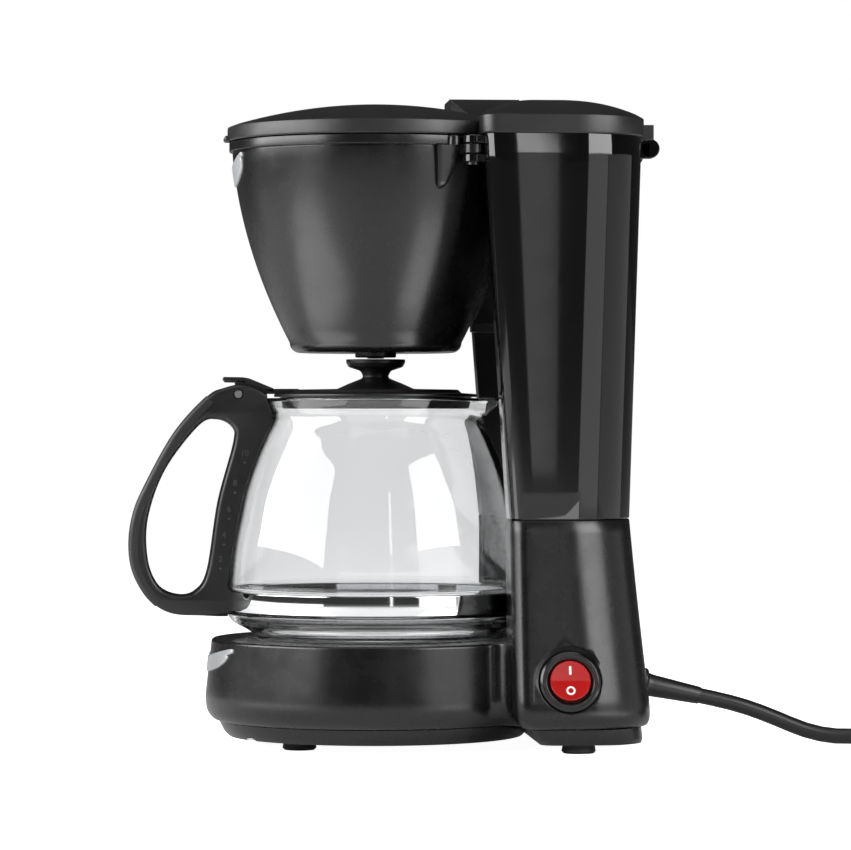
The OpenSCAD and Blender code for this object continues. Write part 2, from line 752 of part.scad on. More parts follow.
module lid_beak() {
    color([0.10, 0.10, 0.105]) at_brew() difference() {
        beak_block(0);
        beak_block(wall);
        lid_dome(0);
        lid_pillow(0);
    }
}

module lid_hinge() {
    color([0.10, 0.10, 0.105]) at_brew() difference() {
        union() {
            translate([0, hinge_s, hinge_z]) along_x(2.3, -barrel_half, barrel_half, $fn = 48);
            translate([-barrel_half, tank_rear + 0.8, hinge_z])
                cube([2 * barrel_half, 5.8, lid_z + 6 - hinge_z]);
        }
        translate([0, hinge_s, hinge_z]) along_x(hinge_pin_r, -40, 40, $fn = 48);
        translate([-30, tank_rear, hinge_z - 3]) cube([60, 2.2, 5.5]);
    }
}

// ---- Filter basket ----
module basket_profile(inset) {
    corner = 4 - inset / 2;
    low_r = basket_radius(basket_bottom + 4) - inset;
    polygon(concat([[0, basket_bottom + inset]],
        [for (a = [-90:30:0]) [low_r - corner + corner * cos(a), basket_bottom + inset + corner
            + corner * sin(a)]],
        [for (k = [1:12]) let (z = lerp(basket_bottom + 6, band_z, k / 12)) [basket_radius(z) - inset, z]],
        [[0, band_z]]));
}

module filter_basket() {
    color([0.045, 0.045, 0.05]) at_brew() difference() {
        union() {
            rotate_extrude() basket_profile(0);
            ring(basket_r, basket_top_r - 1, band_z + 0.7, basket_top);
            ring(basket_top_r - 0.6, basket_top_r - 2, band_z - 0.5, band_z + 1);
            disc(8, basket_bottom - 1.8, basket_bottom + 1);
            pivot_knuckle();
        }
        rotate_extrude() basket_profile(wall);
        disc(basket_top_r - wall, band_z - 1, basket_top + 1);
        disc(3.5, basket_bottom - 3, basket_bottom + 4);
        translate([pivot_x, pivot_s, 0]) disc(pivot_pin_r, 220, 240);
    }
}

// The ear at the rim that the pin runs through, and the tongue-shaped rib below it
module pivot_knuckle() {
    translate([pivot_x, pivot_s, knuckle_z0]) cylinder(r = pivot_r, h = knuckle_z1 - knuckle_z0, $fn = 48);
    rotate([0, 0, 27.5]) translate([basket_r, 0, 0]) disc(2.6, knuckle_z1 - 0.5, basket_top, $fn = 32);
    rotate([0, 0, atan2(pivot_s, pivot_x)]) difference() {
        translate([basket_top_r - 3, -3.6, knuckle_z0]) cube([6.2, 7.2, knuckle_z1 - knuckle_z0]);
        translate([norm([pivot_x, pivot_s]), 0, 0]) disc(pivot_pin_r, 220, 240);
    }
    rotate([0, 0, 24]) hull() {
        translate([basket_top_r - 4.5, -4.5, knuckle_z0]) cube([6, 9, knuckle_z1 - knuckle_z0]);
        translate([basket_radius(213) - 1, 0, 213]) sphere(r = 2.2, $fn = 24);
    }
}

module basket_badge() {
    top_z = band_z - 0.4;
    low_z = 216.5;
    shape = concat([[-19, top_z], [19, top_z]], [for (k = [0:8]) let (x = 18 - k * 4.5)
        [x, top_z - 2 - (top_z - 2 - low_z) * sqrt(max(0, 1 - pow(x / 18, 2)))]]);
    color([0.78, 0.79, 0.80]) at_brew() intersection() {
        difference() {
            rotate_extrude() polygon([[50, 210], [basket_radius(210) + 0.7, 210],
                [basket_radius(band_z) + 0.7, band_z], [50, band_z]]);
            rotate_extrude() basket_profile(0);
        }
        translate([0, -20, 0]) rotate([90, 0, 0]) linear_extrude(60) polygon(shape);
    }
}

module filter_cone(r_grow) {
    rotate_extrude() polygon([[0, 172], [24 + r_grow, 172], [50.4 + r_grow, 226.01], [0, 226.01]]);
}

module filter_frame() {
    color([0.10, 0.10, 0.10]) at_brew() difference() {
        union() {
            ring(52.6, 49.6, 226, 228.4);
            disc(24.6, 170, 172);
            intersection() {
                difference() {
                    filter_cone(1.6);
                    filter_cone(0.4);
                }
                for (a = [0:45:315]) rotate([0, 0, a]) translate([10, -1.2, 171]) cube([50, 2.4, 56]);
            }
        }
        for (a = [0:60:300]) rotate([0, 0, a]) translate([13, 0, 0]) disc(3, 169, 173, $fn = 32);
        translate([-50.5, -2.3, 227.2]) cube([101, 4.6, 3]);
    }
}

module filter_mesh() {
    color([0.75, 0.70, 0.50]) at_brew() difference() {
        filter_cone(0.4);
        translate([0, 0, 0.01]) filter_cone(0);
    }
}

module filter_handle() {
    color([0.10, 0.10, 0.10]) at_brew() {
        translate([-50.3, -2.2, 227.2]) cube([100.6, 4.4, 1.2]);
        translate([-14, -1.3, 228.3]) cube([28, 2.6, 4.6]);
    }
}

module valve_cage() {
    color([0.12, 0.12, 0.12]) at_brew() difference() {
        disc(11.5, basket_bottom + wall, 168.2);
        disc(10, basket_bottom + wall - 1, 166.6);
        for (a = [0:60:300]) rotate([0, 0, a]) translate([6, -2.5, 156]) cube([8, 5, 7]);
    }
}

module drip_valve() {
    color([0.82, 0.82, 0.80]) at_brew() {
        disc(3.2, basket_bottom - 2.2, 158.6);
        disc(8.6, 156, 157.4);
        disc(2.6, 158.5, 161);
    }
}

module valve_seal() {
    color([0.60, 0.15, 0.10]) at_brew() ring(8, 3.2, basket_bottom + wall + gap, 156);
}

module valve_spring() {
    turns = 4.5;
    spring_r = 4.6;
    wire_r = 0.45;
    spring_z0 = 157.4 + wire_r;
    spring_z1 = 166.6 - wire_r;
    steps = 60;
    route = [for (k = [0:steps]) let (a = 360 * turns * k / steps)
        [spring_r * cos(a), spring_r * sin(a), lerp(spring_z0, spring_z1, k / steps)]];
    color([0.80, 0.81, 0.83]) at_brew() swept_tube(route, wire_r, 6);
}

// ---- Carafe ----
function glass_outline(d) = concat([for (p = open_curve(glass_low, 3)) [p[0] - d, p[1] + d]],
    [[glass_r - 0.5 - d, band_z0 - 0.3], [groove_r - d, band_z0 - 0.2], [groove_r - d, band_z1 + 0.2]],
    [for (p = open_curve(glass_high, 3)) [p[0] - d, p[1]]]);

module glass_solid(d, top) {
    pts = glass_outline(d);
    rotate_extrude() polygon(concat([[0, pts[0][1] + 1]], pts, [[pts[len(pts) - 1][0], top], [0, top]]));
}

module spout_block(d) {
    hull() {
        translate([0, 45.6 - d, rim_z - 2 - d]) cylinder(r = 3, h = 2 + 2 * d, $fn = 32);
        for (sx = [-1, 1]) translate([sx * (13 - d), 37, rim_z - 2 - d])
            cylinder(r = 4, h = 2 + 2 * d, $fn = 32);
        translate([0, 37 - d, rim_z - 11]) sphere(r = 3.4, $fn = 24);
    }
}

module carafe_glass() {
    color([0.85, 0.90, 0.92, 0.35]) at_brew() difference() {
        union() {
            glass_solid(0, rim_z);
            spout_block(0);
        }
        glass_solid(glass_wall, rim_z + 1);
        spout_block(1.8);
        disc(40, foot_z - 1, foot_z + 0.8);
    }
}

module carafe_band() {
    color([0.85, 0.86, 0.88]) at_brew() {
        ring(groove_r + 0.65, groove_r + fit, band_z0, band_z1);
        difference() {
            translate([-4, -groove_r - 6, band_z0 + 1]) cube([8, 6.2, band_z1 - band_z0 - 2]);
            disc(groove_r + 0.3, band_z0, band_z1);
            translate([-2.6, -groove_r - 7, band_z0]) cube([5.2, 6, 10]);
        }
    }
}

module band_screw() {
    color([0.75, 0.76, 0.78]) at_brew() translate([0, -groove_r - 4, 55.8]) {
        along_x(1.4, -2.6, 2.6, $fn = 32);
    }
}

module handle_profile() {
    difference() {
        polygon(closed_curve(handle_outer, 5));
        polygon(closed_curve(handle_hole, 6));
    }
}

// The soft-touch strip along the outside of the grip
module grip_profile() {
    outer = closed_curve(handle_outer, 5);
    difference() {
        polygon(outer);
        polygon(shifted(outer, -grip_depth));
        translate([-64.5, 40]) square([40, 110]);
        translate([-85, 40]) square([60, 14]);
    }
}

// Stands a flat outline of [distance, height] up in the middle plane of the machine
module upright(width) {
    rotate([90, 0, 90]) translate([0, 0, -width / 2]) linear_extrude(width) children();
}

module carafe_handle() {
    color([0.07, 0.07, 0.07]) at_brew() difference() {
        upright(handle_w) difference() {
            handle_profile();
            grip_profile();
        }
        glass_solid(-gap, rim_z + 8);
        ring(groove_r + 0.8, groove_r - 2, band_z0 - 0.1, band_z1 + 0.1);
        disc(39, rim_z - 1, 150);
        translate([-4.2, -groove_r - 6.2, band_z0 + 0.6]) cube([8.4, 8, band_z1 - band_z0 - 1.2]);
        translate([-4.3, lid_pin_s - 5.6, lid_pin_z - 4.4]) cube([8.6, 30, 20]);
        translate([0, lid_pin_s, lid_pin_z]) along_x(lid_pin_r, -20, 20, $fn = 32);
    }
}

module handle_grip() {
    color([0.05, 0.05, 0.05]) at_brew() upright(handle_w) grip_profile();
}

module carafe_lid() {
    profile = [[0, 134.8], [34, 134.8], [34, 130.6], [36, 130.6], [37.4, 134.8], [39.6, 134.8],
        [39.6, 136], [33.4, 136.4], [32.4, 137.6], [15, 138], [10.6, 140.2], [4.4, 142.4], [6, 145],
        [10.4, 146.6], [11.5, 148.2], [11.5, 149.5], [9.6, 149.5], [8, 147.4], [2.5, 146.6], [2.5, 140],
        [0, 140]];
    color([0.07, 0.07, 0.07]) at_brew() difference() {
        union() {
            rotate_extrude() polygon(profile);
            translate([-4, -46, 136]) cube([8, 16, 2]);
            hull() {
                translate([0, -50.7, 141.4]) along_x(1, -4, 4, $fn = 24);
                translate([0, -40, 137]) along_x(1, -4, 4, $fn = 24);
            }
            translate([-4, -59.4, 140.4]) cube([8, 9, 2]);
            translate([0, lid_pin_s, lid_pin_z]) along_x(3.4, -4, 4, $fn = 48);
            translate([-4, lid_pin_s - 1, lid_pin_z]) cube([8, 4, 5.5]);
        }
        translate([0, lid_pin_s, lid_pin_z]) along_x(lid_pin_r, -20, 20, $fn = 32);
        disc(2.5, 130, 150, $fn = 32);
    }
}

module carafe_lid_pin() {
    color([0.75, 0.76, 0.78]) at_brew() translate([0, lid_pin_s, lid_pin_z])
        along_x(lid_pin_r - fit, -handle_w / 2, handle_w / 2, $fn = 32);
}

base_housing();
bottom_cover();
rubber_feet();
bottom_screws();
warming_plate();
plate_seal();
heater_water_tube();
heating_element();
heater_clamp();
clamp_nut();
thermostat();
thermal_fuse();
check_valve();
inlet_hose();
outlet_hose();
riser_tube();
riser_grommet();
water_tank();
tank_screws();
hot_water_spout();
water_spreader();
switch_bezel();
switch_body();
switch_terminals();
live_wire();
heater_wire();
base_badge();
basket_pivot_pin();
basket_stop();
lid_hinge_pin();
strain_relief();
cord_tube();
cord_coil();
plug_body();
plug_pins();
top_lid();
lid_beak();
lid_hinge();
filter_basket();
basket_badge();
filter_frame();
filter_mesh();
filter_handle();
valve_cage();
drip_valve();
valve_seal();
valve_spring();
carafe_glass();
carafe_band();
band_screw();
carafe_handle();
handle_grip();
carafe_lid();
carafe_lid_pin();
rocker();
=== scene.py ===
"""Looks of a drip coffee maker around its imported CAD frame.

Shapes are worked out in millimetres about the brew axis, as [x, s, z]: s is the distance behind
that axis. new_object() turns them into metres in the row frame.
"""

import json
import math

import bmesh
import bpy
from mathutils import Matrix, Vector
from mathutils.geometry import tessellate_polygon


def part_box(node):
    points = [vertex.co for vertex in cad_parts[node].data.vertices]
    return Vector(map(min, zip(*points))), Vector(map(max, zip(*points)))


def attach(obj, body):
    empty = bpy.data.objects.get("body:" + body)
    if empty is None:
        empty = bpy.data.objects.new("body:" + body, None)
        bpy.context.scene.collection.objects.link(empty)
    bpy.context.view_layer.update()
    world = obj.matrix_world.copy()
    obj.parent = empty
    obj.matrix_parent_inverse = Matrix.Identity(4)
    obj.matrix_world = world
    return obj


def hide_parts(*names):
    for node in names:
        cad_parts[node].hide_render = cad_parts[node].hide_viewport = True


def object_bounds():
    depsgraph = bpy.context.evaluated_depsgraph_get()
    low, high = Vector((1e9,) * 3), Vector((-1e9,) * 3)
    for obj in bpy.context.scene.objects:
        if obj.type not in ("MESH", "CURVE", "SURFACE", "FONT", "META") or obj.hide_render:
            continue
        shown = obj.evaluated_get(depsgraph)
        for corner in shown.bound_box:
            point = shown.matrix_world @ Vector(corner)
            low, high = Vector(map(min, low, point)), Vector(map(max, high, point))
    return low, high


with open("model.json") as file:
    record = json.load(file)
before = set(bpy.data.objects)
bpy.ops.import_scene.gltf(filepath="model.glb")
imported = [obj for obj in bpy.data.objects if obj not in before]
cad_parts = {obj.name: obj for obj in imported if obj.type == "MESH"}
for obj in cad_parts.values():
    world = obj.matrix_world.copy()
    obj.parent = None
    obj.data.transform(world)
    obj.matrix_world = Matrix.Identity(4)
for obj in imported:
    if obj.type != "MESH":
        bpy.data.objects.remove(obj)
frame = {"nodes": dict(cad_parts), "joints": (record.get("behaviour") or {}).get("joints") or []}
cad_low, cad_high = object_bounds()

MM = 0.001
WALL = 2.2
TAU = 2 * math.pi


# ---- Measures taken from the frame ----
def span(node):
    """A CAD node's box in millimetres: (x0, x1, y0, y1, z0, z1)."""
    low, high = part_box(node)
    return (low.x / MM, high.x / MM, low.y / MM, high.y / MM, low.z / MM, high.z / MM)


def joint(name):
    return next(j for j in frame["joints"] if j["name"] == name)


plate_box = span("warming_plate")
BREW_Y = (plate_box[2] + plate_box[3]) / 2
base_box = span("base_housing")
tank_box = span("water_tank")
glass_box = span("carafe_glass")
basket_box = span("filter_basket")
lid_box = span("top_lid")
beak_box = span("lid_beak")

BASE_HALF_W = -base_box[0]
BASE_REAR = base_box[3] - BREW_Y
COLUMN_TOP = base_box[5]
SEAM_Z = base_box[4]
SHOULDER_Z = SEAM_Z + 3.5
BASE_TOP = plate_box[5] - 0.3
BASE_R = BREW_Y - base_box[2]
TANK_TOP = tank_box[5]
TANK_HALF_W = -tank_box[0]
LID_Z = lid_box[4]
LID_TOP = lid_box[5]
LID_R = 57.7
BASKET_R = BREW_Y - basket_box[2]
BASKET_TOP = basket_box[5]
BASKET_BOTTOM = basket_box[4] + 1.8
BAND_Z = BASKET_TOP - 4.4
FOOT_Z = glass_box[4]
RIM_Z = glass_box[5]
GLASS_R = glass_box[1]
GROOVE_R = GLASS_R - 1.6
RECESS_R = 60.0

PIVOT = [v / MM for v in joint("basket_swing")["pos_m"]]
PIVOT_X, PIVOT_S = PIVOT[0], PIVOT[1] - BREW_Y
HINGE = [v / MM for v in joint("lid_hinge")["pos_m"]]
HINGE_S, HINGE_Z = HINGE[1] - BREW_Y, HINGE[2]

SWITCH_TILT = math.atan2(6, BASE_TOP - SHOULDER_Z)
SWITCH_Z = 28.0
SWITCH_S = joint("rocker_tilt")["pos_m"][1] / MM - BREW_Y
SWITCH_X = BASE_HALF_W - 6 * (SWITCH_Z - SHOULDER_Z) / (BASE_TOP - SHOULDER_Z)


# ---- Small maths ----
def lerp(a, b, t):
    return a + (b - a) * t


def smooth(t):
    t = min(max(t, 0.0), 1.0)
    return t * t * (3 - 2 * t)


def arc(cx, cy, r, a0, a1, n):
    """n + 1 points of an arc, angles in degrees."""
    angles = [math.radians(lerp(a0, a1, k / n)) for k in range(n + 1)]
    return [(cx + r * math.cos(a), cy + r * math.sin(a)) for a in angles]


def spline(points, steps, closed=False):
    """A Catmull-Rom curve through the points."""
    n = len(points)
    last = n if closed else n - 1

    def at(i):
        return Vector(points[i % n] if closed else points[min(max(i, 0), n - 1)])

    out = []
    for i in range(last):
        p0, p1, p2, p3 = at(i - 1), at(i), at(i + 1), at(i + 2)
        for k in range(steps):
            t = k / steps
            out.append(0.5 * (2 * p1 + (p2 - p0) * t + (2 * p0 - 5 * p1 + 4 * p2 - p3) * t * t
                + (3 * p1 - p0 - 3 * p2 + p3) * t ** 3))
    if not closed:
        out.append(at(n - 1))
    return [tuple(p) for p in out]


def shifted(points, d):
    """A closed outline moved sideways by d, outwards if it runs anticlockwise."""
    n = len(points)
    out = []
    for i in range(n):
        ax, ay = points[i - 1]
        bx, by = points[(i + 1) % n]
        length = math.hypot(bx - ax, by - ay) or 1.0
        out.append((points[i][0] + d * (by - ay) / length, points[i][1] - d * (bx - ax) / length))
    return out


def rounded(corners, steps=5):
    """A path through (a, b, radius) corners with each corner of some radius turned into an arc."""
    out = []
    for i, (px, py, r) in enumerate(corners):
        p = Vector((px, py))
        if r <= 0 or i in (0, len(corners) - 1):
            out.append((px, py))
            continue
        a = Vector(corners[i - 1][:2]) - p
        b = Vector(corners[i + 1][:2]) - p
        half = a.angle(b) / 2
        back = min(r / math.tan(half), a.length * 0.48, b.length * 0.48)
        p0, p1 = p + a.normalized() * back, p + b.normalized() * back
        for k in range(steps + 1):
            t = k / steps
            q = p0 * (1 - t) ** 2 + p * 2 * t * (1 - t) + p1 * t * t
            out.append((q.x, q.y))
    return out


# ---- Mesh helpers ----
class Build:
    """Collects vertices and faces in brew millimetres."""

    def __init__(self):
        self.points = []
        self.faces = []

    def add(self, points):
        start = len(self.points)
        self.points.extend(points)
        return list(range(start, len(self.points)))

    def bridge(self, a, b, closed=True):
        n = len(a)
        for i in range(n if closed else n - 1):
            j = (i + 1) % n
            self.faces.append((a[i], a[j], b[j], b[i]))

    def loft(self, loops, cap_start=True, cap_end=True, ring=False):
        rows = [self.add(loop) for loop in loops]
        for a, b in zip(rows, rows[1:]):
            self.bridge(a, b)
        if ring:
            self.bridge(rows[-1], rows[0])
            return rows
        if cap_start:
            self.faces.append(tuple(reversed(rows[0])))
        if cap_end:
            self.faces.append(tuple(rows[-1]))
        return rows

    def fill(self, loops):
        """Triangles between an outer loop of vertex numbers and its holes."""
        numbers = [i for loop in loops for i in loop]
        for tri in tessellate_polygon([[Vector(self.points[i]) for i in loop] for loop in loops]):
            self.faces.append(tuple(numbers[k] for k in tri))

    def lathe(self, profile, steps, closed=False, centre=(0.0, 0.0), push=None):
        """Turns (radius, height) points about a vertical axis. push(angle, z) adds to the radius."""
        rows = []
        for r, z in profile:
            if r < 1e-6:
                rows.append(self.add([(centre[0], centre[1], z)]))
                continue
            ring = []
            for k in range(steps):
                a = TAU * k / steps
                q = r + (push(a, z) if push else 0.0)
                ring.append((centre[0] + q * math.cos(a), centre[1] + q * math.sin(a), z))
            rows.append(self.add(ring))
        pairs = list(zip(rows, rows[1:])) + ([(rows[-1], rows[0])] if closed else [])
        for a, b in pairs:
            if len(a) == 1 and len(b) == 1:
                continue
            if len(a) == 1:
                self.faces.extend((a[0], b[(k + 1) % steps], b[k]) for k in range(steps))
            elif len(b) == 1:
                self.faces.extend((a[k], a[(k + 1) % steps], b[0]) for k in range(steps))
            else:
                self.bridge(a, b)

    def turned(self, profile, steps, matrix):
        """A lathe about local Z, then placed by a matrix."""
        part = Build()
        part.lathe(profile, steps)
        self.take(part, matrix)

    def take(self, part, matrix=None):
        start = len(self.points)
        for p in part.points:
            q = matrix @ Vector(p) if matrix else Vector(p)
            self.points.append(tuple(q))
        self.faces.extend(tuple(i + start for i in f) for f in part.faces)

    def box(self, x0, x1, s0, s1, z0, z1, edge=0.5, matrix=None):
        """A block with bevelled upright edges and bevelled top and bottom."""
        part = Build()
        loops = []
        for z, d in ((z0, edge), (z0 + edge, 0.0), (z1 - edge, 0.0), (z1, edge)):
            a, b, c, e = x0 + d, x1 - d, s0 + d, s1 - d
            outline = [(a + edge, c), (b - edge, c), (b, c + edge), (b, e - edge), (b - edge, e),
                (a + edge, e), (a, e - edge), (a, c + edge)]
            loops.append([(x, s, z) for x, s in outline])
        part.loft(loops)
        self.take(part, matrix)


def new_object(name, build, at_brew=True):
    """A mesh object in metres in the row frame, with faces turned outwards."""
    shift = BREW_Y if at_brew else 0.0
    mesh = bpy.data.meshes.new(name)
    mesh.from_pydata([(x * MM, (s + shift) * MM, z * MM) for x, s, z in build.points], [], build.faces)
    mesh.validate()
    obj = bpy.data.objects.new(name, mesh)
    bpy.context.scene.collection.objects.link(obj)
    clean(obj)
    return obj


def clean(obj):
    bm = bmesh.new()
    bm.from_mesh(obj.data)
    bmesh.ops.remove_doubles(bm, verts=bm.verts, dist=2e-6)
    bmesh.ops.dissolve_degenerate(bm, edges=bm.edges, dist=1e-7)
    bmesh.ops.recalc_face_normals(bm, faces=bm.faces)
    bm.to_mesh(obj.data)
    bm.free()


def apply_modifiers(obj):
    bpy.context.view_layer.update()
    graph = bpy.context.evaluated_depsgraph_get()
    made = bpy.data.meshes.new_from_object(obj.evaluated_get(graph))
    obj.modifiers.clear()
    old = obj.data
    obj.data = made
    made.name = obj.name
    if old.users == 0:
        bpy.data.meshes.remove(old)
    return obj


def cut(obj, tool, operation="DIFFERENCE"):
    """A boolean of obj with tool, applied at once."""
    modifier = obj.modifiers.new("cut", "BOOLEAN")
    modifier.operation = operation
    modifier.solver = "EXACT"
    modifier.object = tool
    apply_modifiers(obj)
    bpy.data.objects.remove(tool)
    return obj


def shell(obj, thickness):
    modifier = obj.modifiers.new("wall", "SOLIDIFY")
    modifier.thickness = thickness * MM
    modifier.offset = -1
    modifier.use_even_offset = True
    modifier.use_rim = True
    return apply_modifiers(obj)


def bevel(obj, width, segments=2, angle=40):
    modifier = obj.modifiers.new("edge", "BEVEL")
    modifier.width = width * MM
    modifier.segments = segments
    modifier.limit_method = "ANGLE"
    modifier.angle_limit = math.radians(angle)
    modifier.harden_normals = False
    return apply_modifiers(obj)


def finish_piece(obj, body, material, nodes=(), angle=32):
    """Shading, material, body and the CAD nodes that the piece stands for."""
    obj.data.materials.clear()
    obj.data.materials.append(material)
    obj.data.shade_smooth()
    obj.data.set_sharp_from_angle(angle=math.radians(angle))
    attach(obj, body)
    if nodes:
        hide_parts(*nodes)
    return obj


def piece(name, build, body, material, nodes=(), angle=32):
    return finish_piece(new_object(name, build), body, material, nodes, angle)


OUTWARDS = Matrix(((0, 0, 1, 0), (1, 0, 0, 0), (0, 1, 0, 0), (0, 0, 0, 1)))


def at_switch():
    """Local Z points out of the side wall at the switch, local X along the machine."""
    place = Matrix.Translation((SWITCH_X, SWITCH_S, SWITCH_Z))
    tilt = Matrix.Rotation(-SWITCH_TILT, 4, "Y")
    return place @ tilt @ OUTWARDS


# ---- Materials ----
def add_node(tree, kind, source=None, output=None, target=None, **values):
    """A shader node with its inputs set, fed from an output of another node."""
    node = tree.nodes.new("ShaderNode" + kind)
    for key, value in values.items():
        node.inputs[key.replace("_", " ")].default_value = value
    if source:
        tree.links.new(source.outputs[output], node.inputs[target])
    return node


def surface(name, colour, rough, metallic=0.0, specular=0.5, mottle=0.08, rough_vary=0.12, grain=0.0,
        grain_scale=2400.0, coat=0.0, transmission=0.0, ior=1.5, subsurface=0.0, streak=(1, 1, 1)):
    """A procedural surface: mottled colour, uneven roughness and fine grain."""
    mat = bpy.data.materials.new(name)
    mat.use_nodes = True
    tree = mat.node_tree
    shader = tree.nodes["Principled BSDF"]
    settings = {"Metallic": metallic, "Specular IOR Level": specular, "Coat Weight": coat,
        "Coat Roughness": 0.08, "Transmission Weight": transmission, "IOR": ior}
    if subsurface:
        settings.update({"Subsurface Weight": subsurface, "Subsurface Scale": 0.002})
    for key, value in settings.items():
        shader.inputs[key].default_value = value
    place = add_node(tree, "TexCoord")
    mapping = add_node(tree, "Mapping", place, "Object", "Vector", Scale=streak)

    patch = add_node(tree, "TexNoise", mapping, "Vector", "Vector", Scale=45.0, Detail=3.0)
    ramp = add_node(tree, "ValToRGB", patch, "Fac", "Fac")
    for element, position, level in zip(ramp.color_ramp.elements, (0.3, 0.7), (1 - mottle, 1 + mottle)):
        element.position = position
        element.color = [*(min(1.0, c * level) for c in colour), 1.0]
    tree.links.new(ramp.outputs["Color"], shader.inputs["Base Color"])

    smear = add_node(tree, "TexNoise", mapping, "Vector", "Vector", Scale=45.0 * 2.3, Detail=4.0)
    spread = add_node(tree, "MapRange", smear, "Fac", "Value", From_Min=0.3, From_Max=0.7,
        To_Min=rough * (1 - rough_vary), To_Max=rough * (1 + rough_vary))
    tree.links.new(spread.outputs["Result"], shader.inputs["Roughness"])

    if grain:
        fine = add_node(tree, "TexNoise", mapping, "Vector", "Vector", Scale=grain_scale, Detail=2.0)
        bump = add_node(tree, "Bump", fine, "Fac", "Height", Strength=grain, Distance=0.0002)
        tree.links.new(bump.outputs["Normal"], shader.inputs["Normal"])
    return mat


black_satin = surface("black_satin", (0.0030, 0.0030, 0.0032), 0.27, grain=0.05)
black_gloss = surface("black_gloss", (0.0022, 0.0022, 0.0024), 0.06, rough_vary=0.2)
black_lid = surface("black_lid", (0.0085, 0.0085, 0.009), 0.40, grain=0.22, grain_scale=2600)
black_matte = surface("black_matte", (0.0042, 0.0042, 0.0045), 0.36, grain=0.10)
soft_grip = surface("soft_grip", (0.0045, 0.0045, 0.0048), 0.5, grain=0.12)
foot_rubber = surface("foot_rubber", (0.012, 0.012, 0.012), 0.6, grain=0.2)
plate_coat = surface("plate_coat", (0.02, 0.02, 0.022), 0.28, grain=0.25, grain_scale=1200)
seal_dark = surface("seal_dark", (0.006, 0.006, 0.0065), 0.5, grain=0.1)
hose_white = surface("hose_white", (0.62, 0.60, 0.55), 0.4, subsurface=0.2)
alloy = surface("alloy", (0.52, 0.53, 0.55), 0.4, metallic=1.0, grain=0.3, grain_scale=900)
element_steel = surface("element_steel", (0.36, 0.35, 0.34), 0.35, metallic=1.0, mottle=0.15)
steel = surface("steel", (0.60, 0.61, 0.62), 0.25, metallic=1.0, streak=(1, 1, 12))
mirror = surface("mirror", (0.82, 0.83, 0.84), 0.06, metallic=1.0, mottle=0.02)
silver = surface("silver", (0.36, 0.37, 0.38), 0.42, metallic=0.5, grain=0.06)
ceramic = surface("ceramic", (0.70, 0.66, 0.56), 0.45)
ivory = surface("ivory", (0.66, 0.66, 0.62), 0.38, subsurface=0.1)
brass = surface("brass", (0.62, 0.45, 0.17), 0.3, metallic=1.0)
wire_brown = surface("wire_brown", (0.14, 0.055, 0.02), 0.45)
wire_blue = surface("wire_blue", (0.02, 0.07, 0.30), 0.45)
switch_black = surface("switch_black", (0.003, 0.003, 0.003), 0.2, grain=0.03)
filter_black = surface("filter_black", (0.008, 0.008, 0.008), 0.42, grain=0.08)
gauze = surface("gauze", (0.45, 0.42, 0.30), 0.45, metallic=0.6, grain=1.0, grain_scale=1500)
cord_black = surface("cord_black", (0.004, 0.004, 0.004), 0.38, grain=0.08)
nickel = surface("nickel", (0.66, 0.65, 0.62), 0.22, metallic=1.0)
grey_mark = surface("grey_mark", (0.045, 0.045, 0.047), 0.4)
white_mark = surface("white_mark", (0.78, 0.78, 0.76), 0.45)
rocker_red = surface("rocker_red", (0.34, 0.004, 0.004), 0.22, coat=0.3, subsurface=0.15, specular=0.4)
clear_glass = surface("clear_glass", (0.86, 0.865, 0.87), 0.003, transmission=1.0, ior=1.48,
    mottle=0.004, rough_vary=0.5)

NODE_LOOKS = {
    "bottom_cover": black_satin, "rubber_feet": foot_rubber, "bottom_screws": steel,
    "warming_plate": plate_coat, "plate_seal": seal_dark, "heater_water_tube": alloy,
    "heating_element": element_steel, "heater_clamp": steel, "clamp_nut": steel,
    "thermostat": ceramic, "thermal_fuse": ivory, "check_valve": ivory, "inlet_hose": hose_white,
    "outlet_hose": hose_white, "riser_tube": ivory, "riser_grommet": seal_dark, "tank_screws": steel,
    "hot_water_spout": ivory, "water_spreader": ivory, "switch_body": switch_black,
    "switch_terminals": brass, "live_wire": wire_brown, "heater_wire": wire_blue,
    "basket_pivot_pin": black_satin, "basket_stop": black_satin, "lid_hinge_pin": steel,
    "lid_hinge": black_lid, "filter_frame": filter_black, "filter_mesh": gauze,
    "filter_handle": filter_black, "valve_cage": filter_black, "drip_valve": ivory,
    "valve_seal": seal_dark, "valve_spring": steel, "band_screw": steel, "carafe_lid_pin": steel,
    "plug_pins": nickel,
}


def dress_cad_nodes():
    """Materials and smooth shading for the CAD nodes that stay in view."""
    for name, obj in frame["nodes"].items():
        obj.data.materials.clear()
        obj.data.materials.append(NODE_LOOKS.get(name, black_satin))
        for attribute in [a.name for a in obj.data.attributes if a.name == "custom_normal"]:
            obj.data.attributes.remove(obj.data.attributes[attribute])
        obj.data.shade_smooth()
        weld = obj.modifiers.new("weld", "WELD")
        weld.merge_threshold = 2e-6
        split = obj.modifiers.new("edges", "EDGE_SPLIT")
        split.split_angle = math.radians(32)


dress_cad_nodes()


# ---- Camera ----
AZIMUTH = math.radians(85.5)
AIM = Vector((0.0, (cad_low.y + (HINGE_S + BREW_Y + 4) * MM) / 2 + 0.0133, 0.129))
DISTANCE = 1.55
camera_data = bpy.data.cameras.new("camera")
camera_data.lens = 168.0
camera_data.sensor_width = 36.0
camera_data.shift_y = -0.0153
camera = bpy.data.objects.new("camera", camera_data)
bpy.context.scene.collection.objects.link(camera)
camera.location = AIM + DISTANCE * Vector((math.sin(AZIMUTH), -math.cos(AZIMUTH), 0.0))
camera.rotation_euler = (math.pi / 2, 0.0, AZIMUTH)
bpy.context.scene.camera = camera


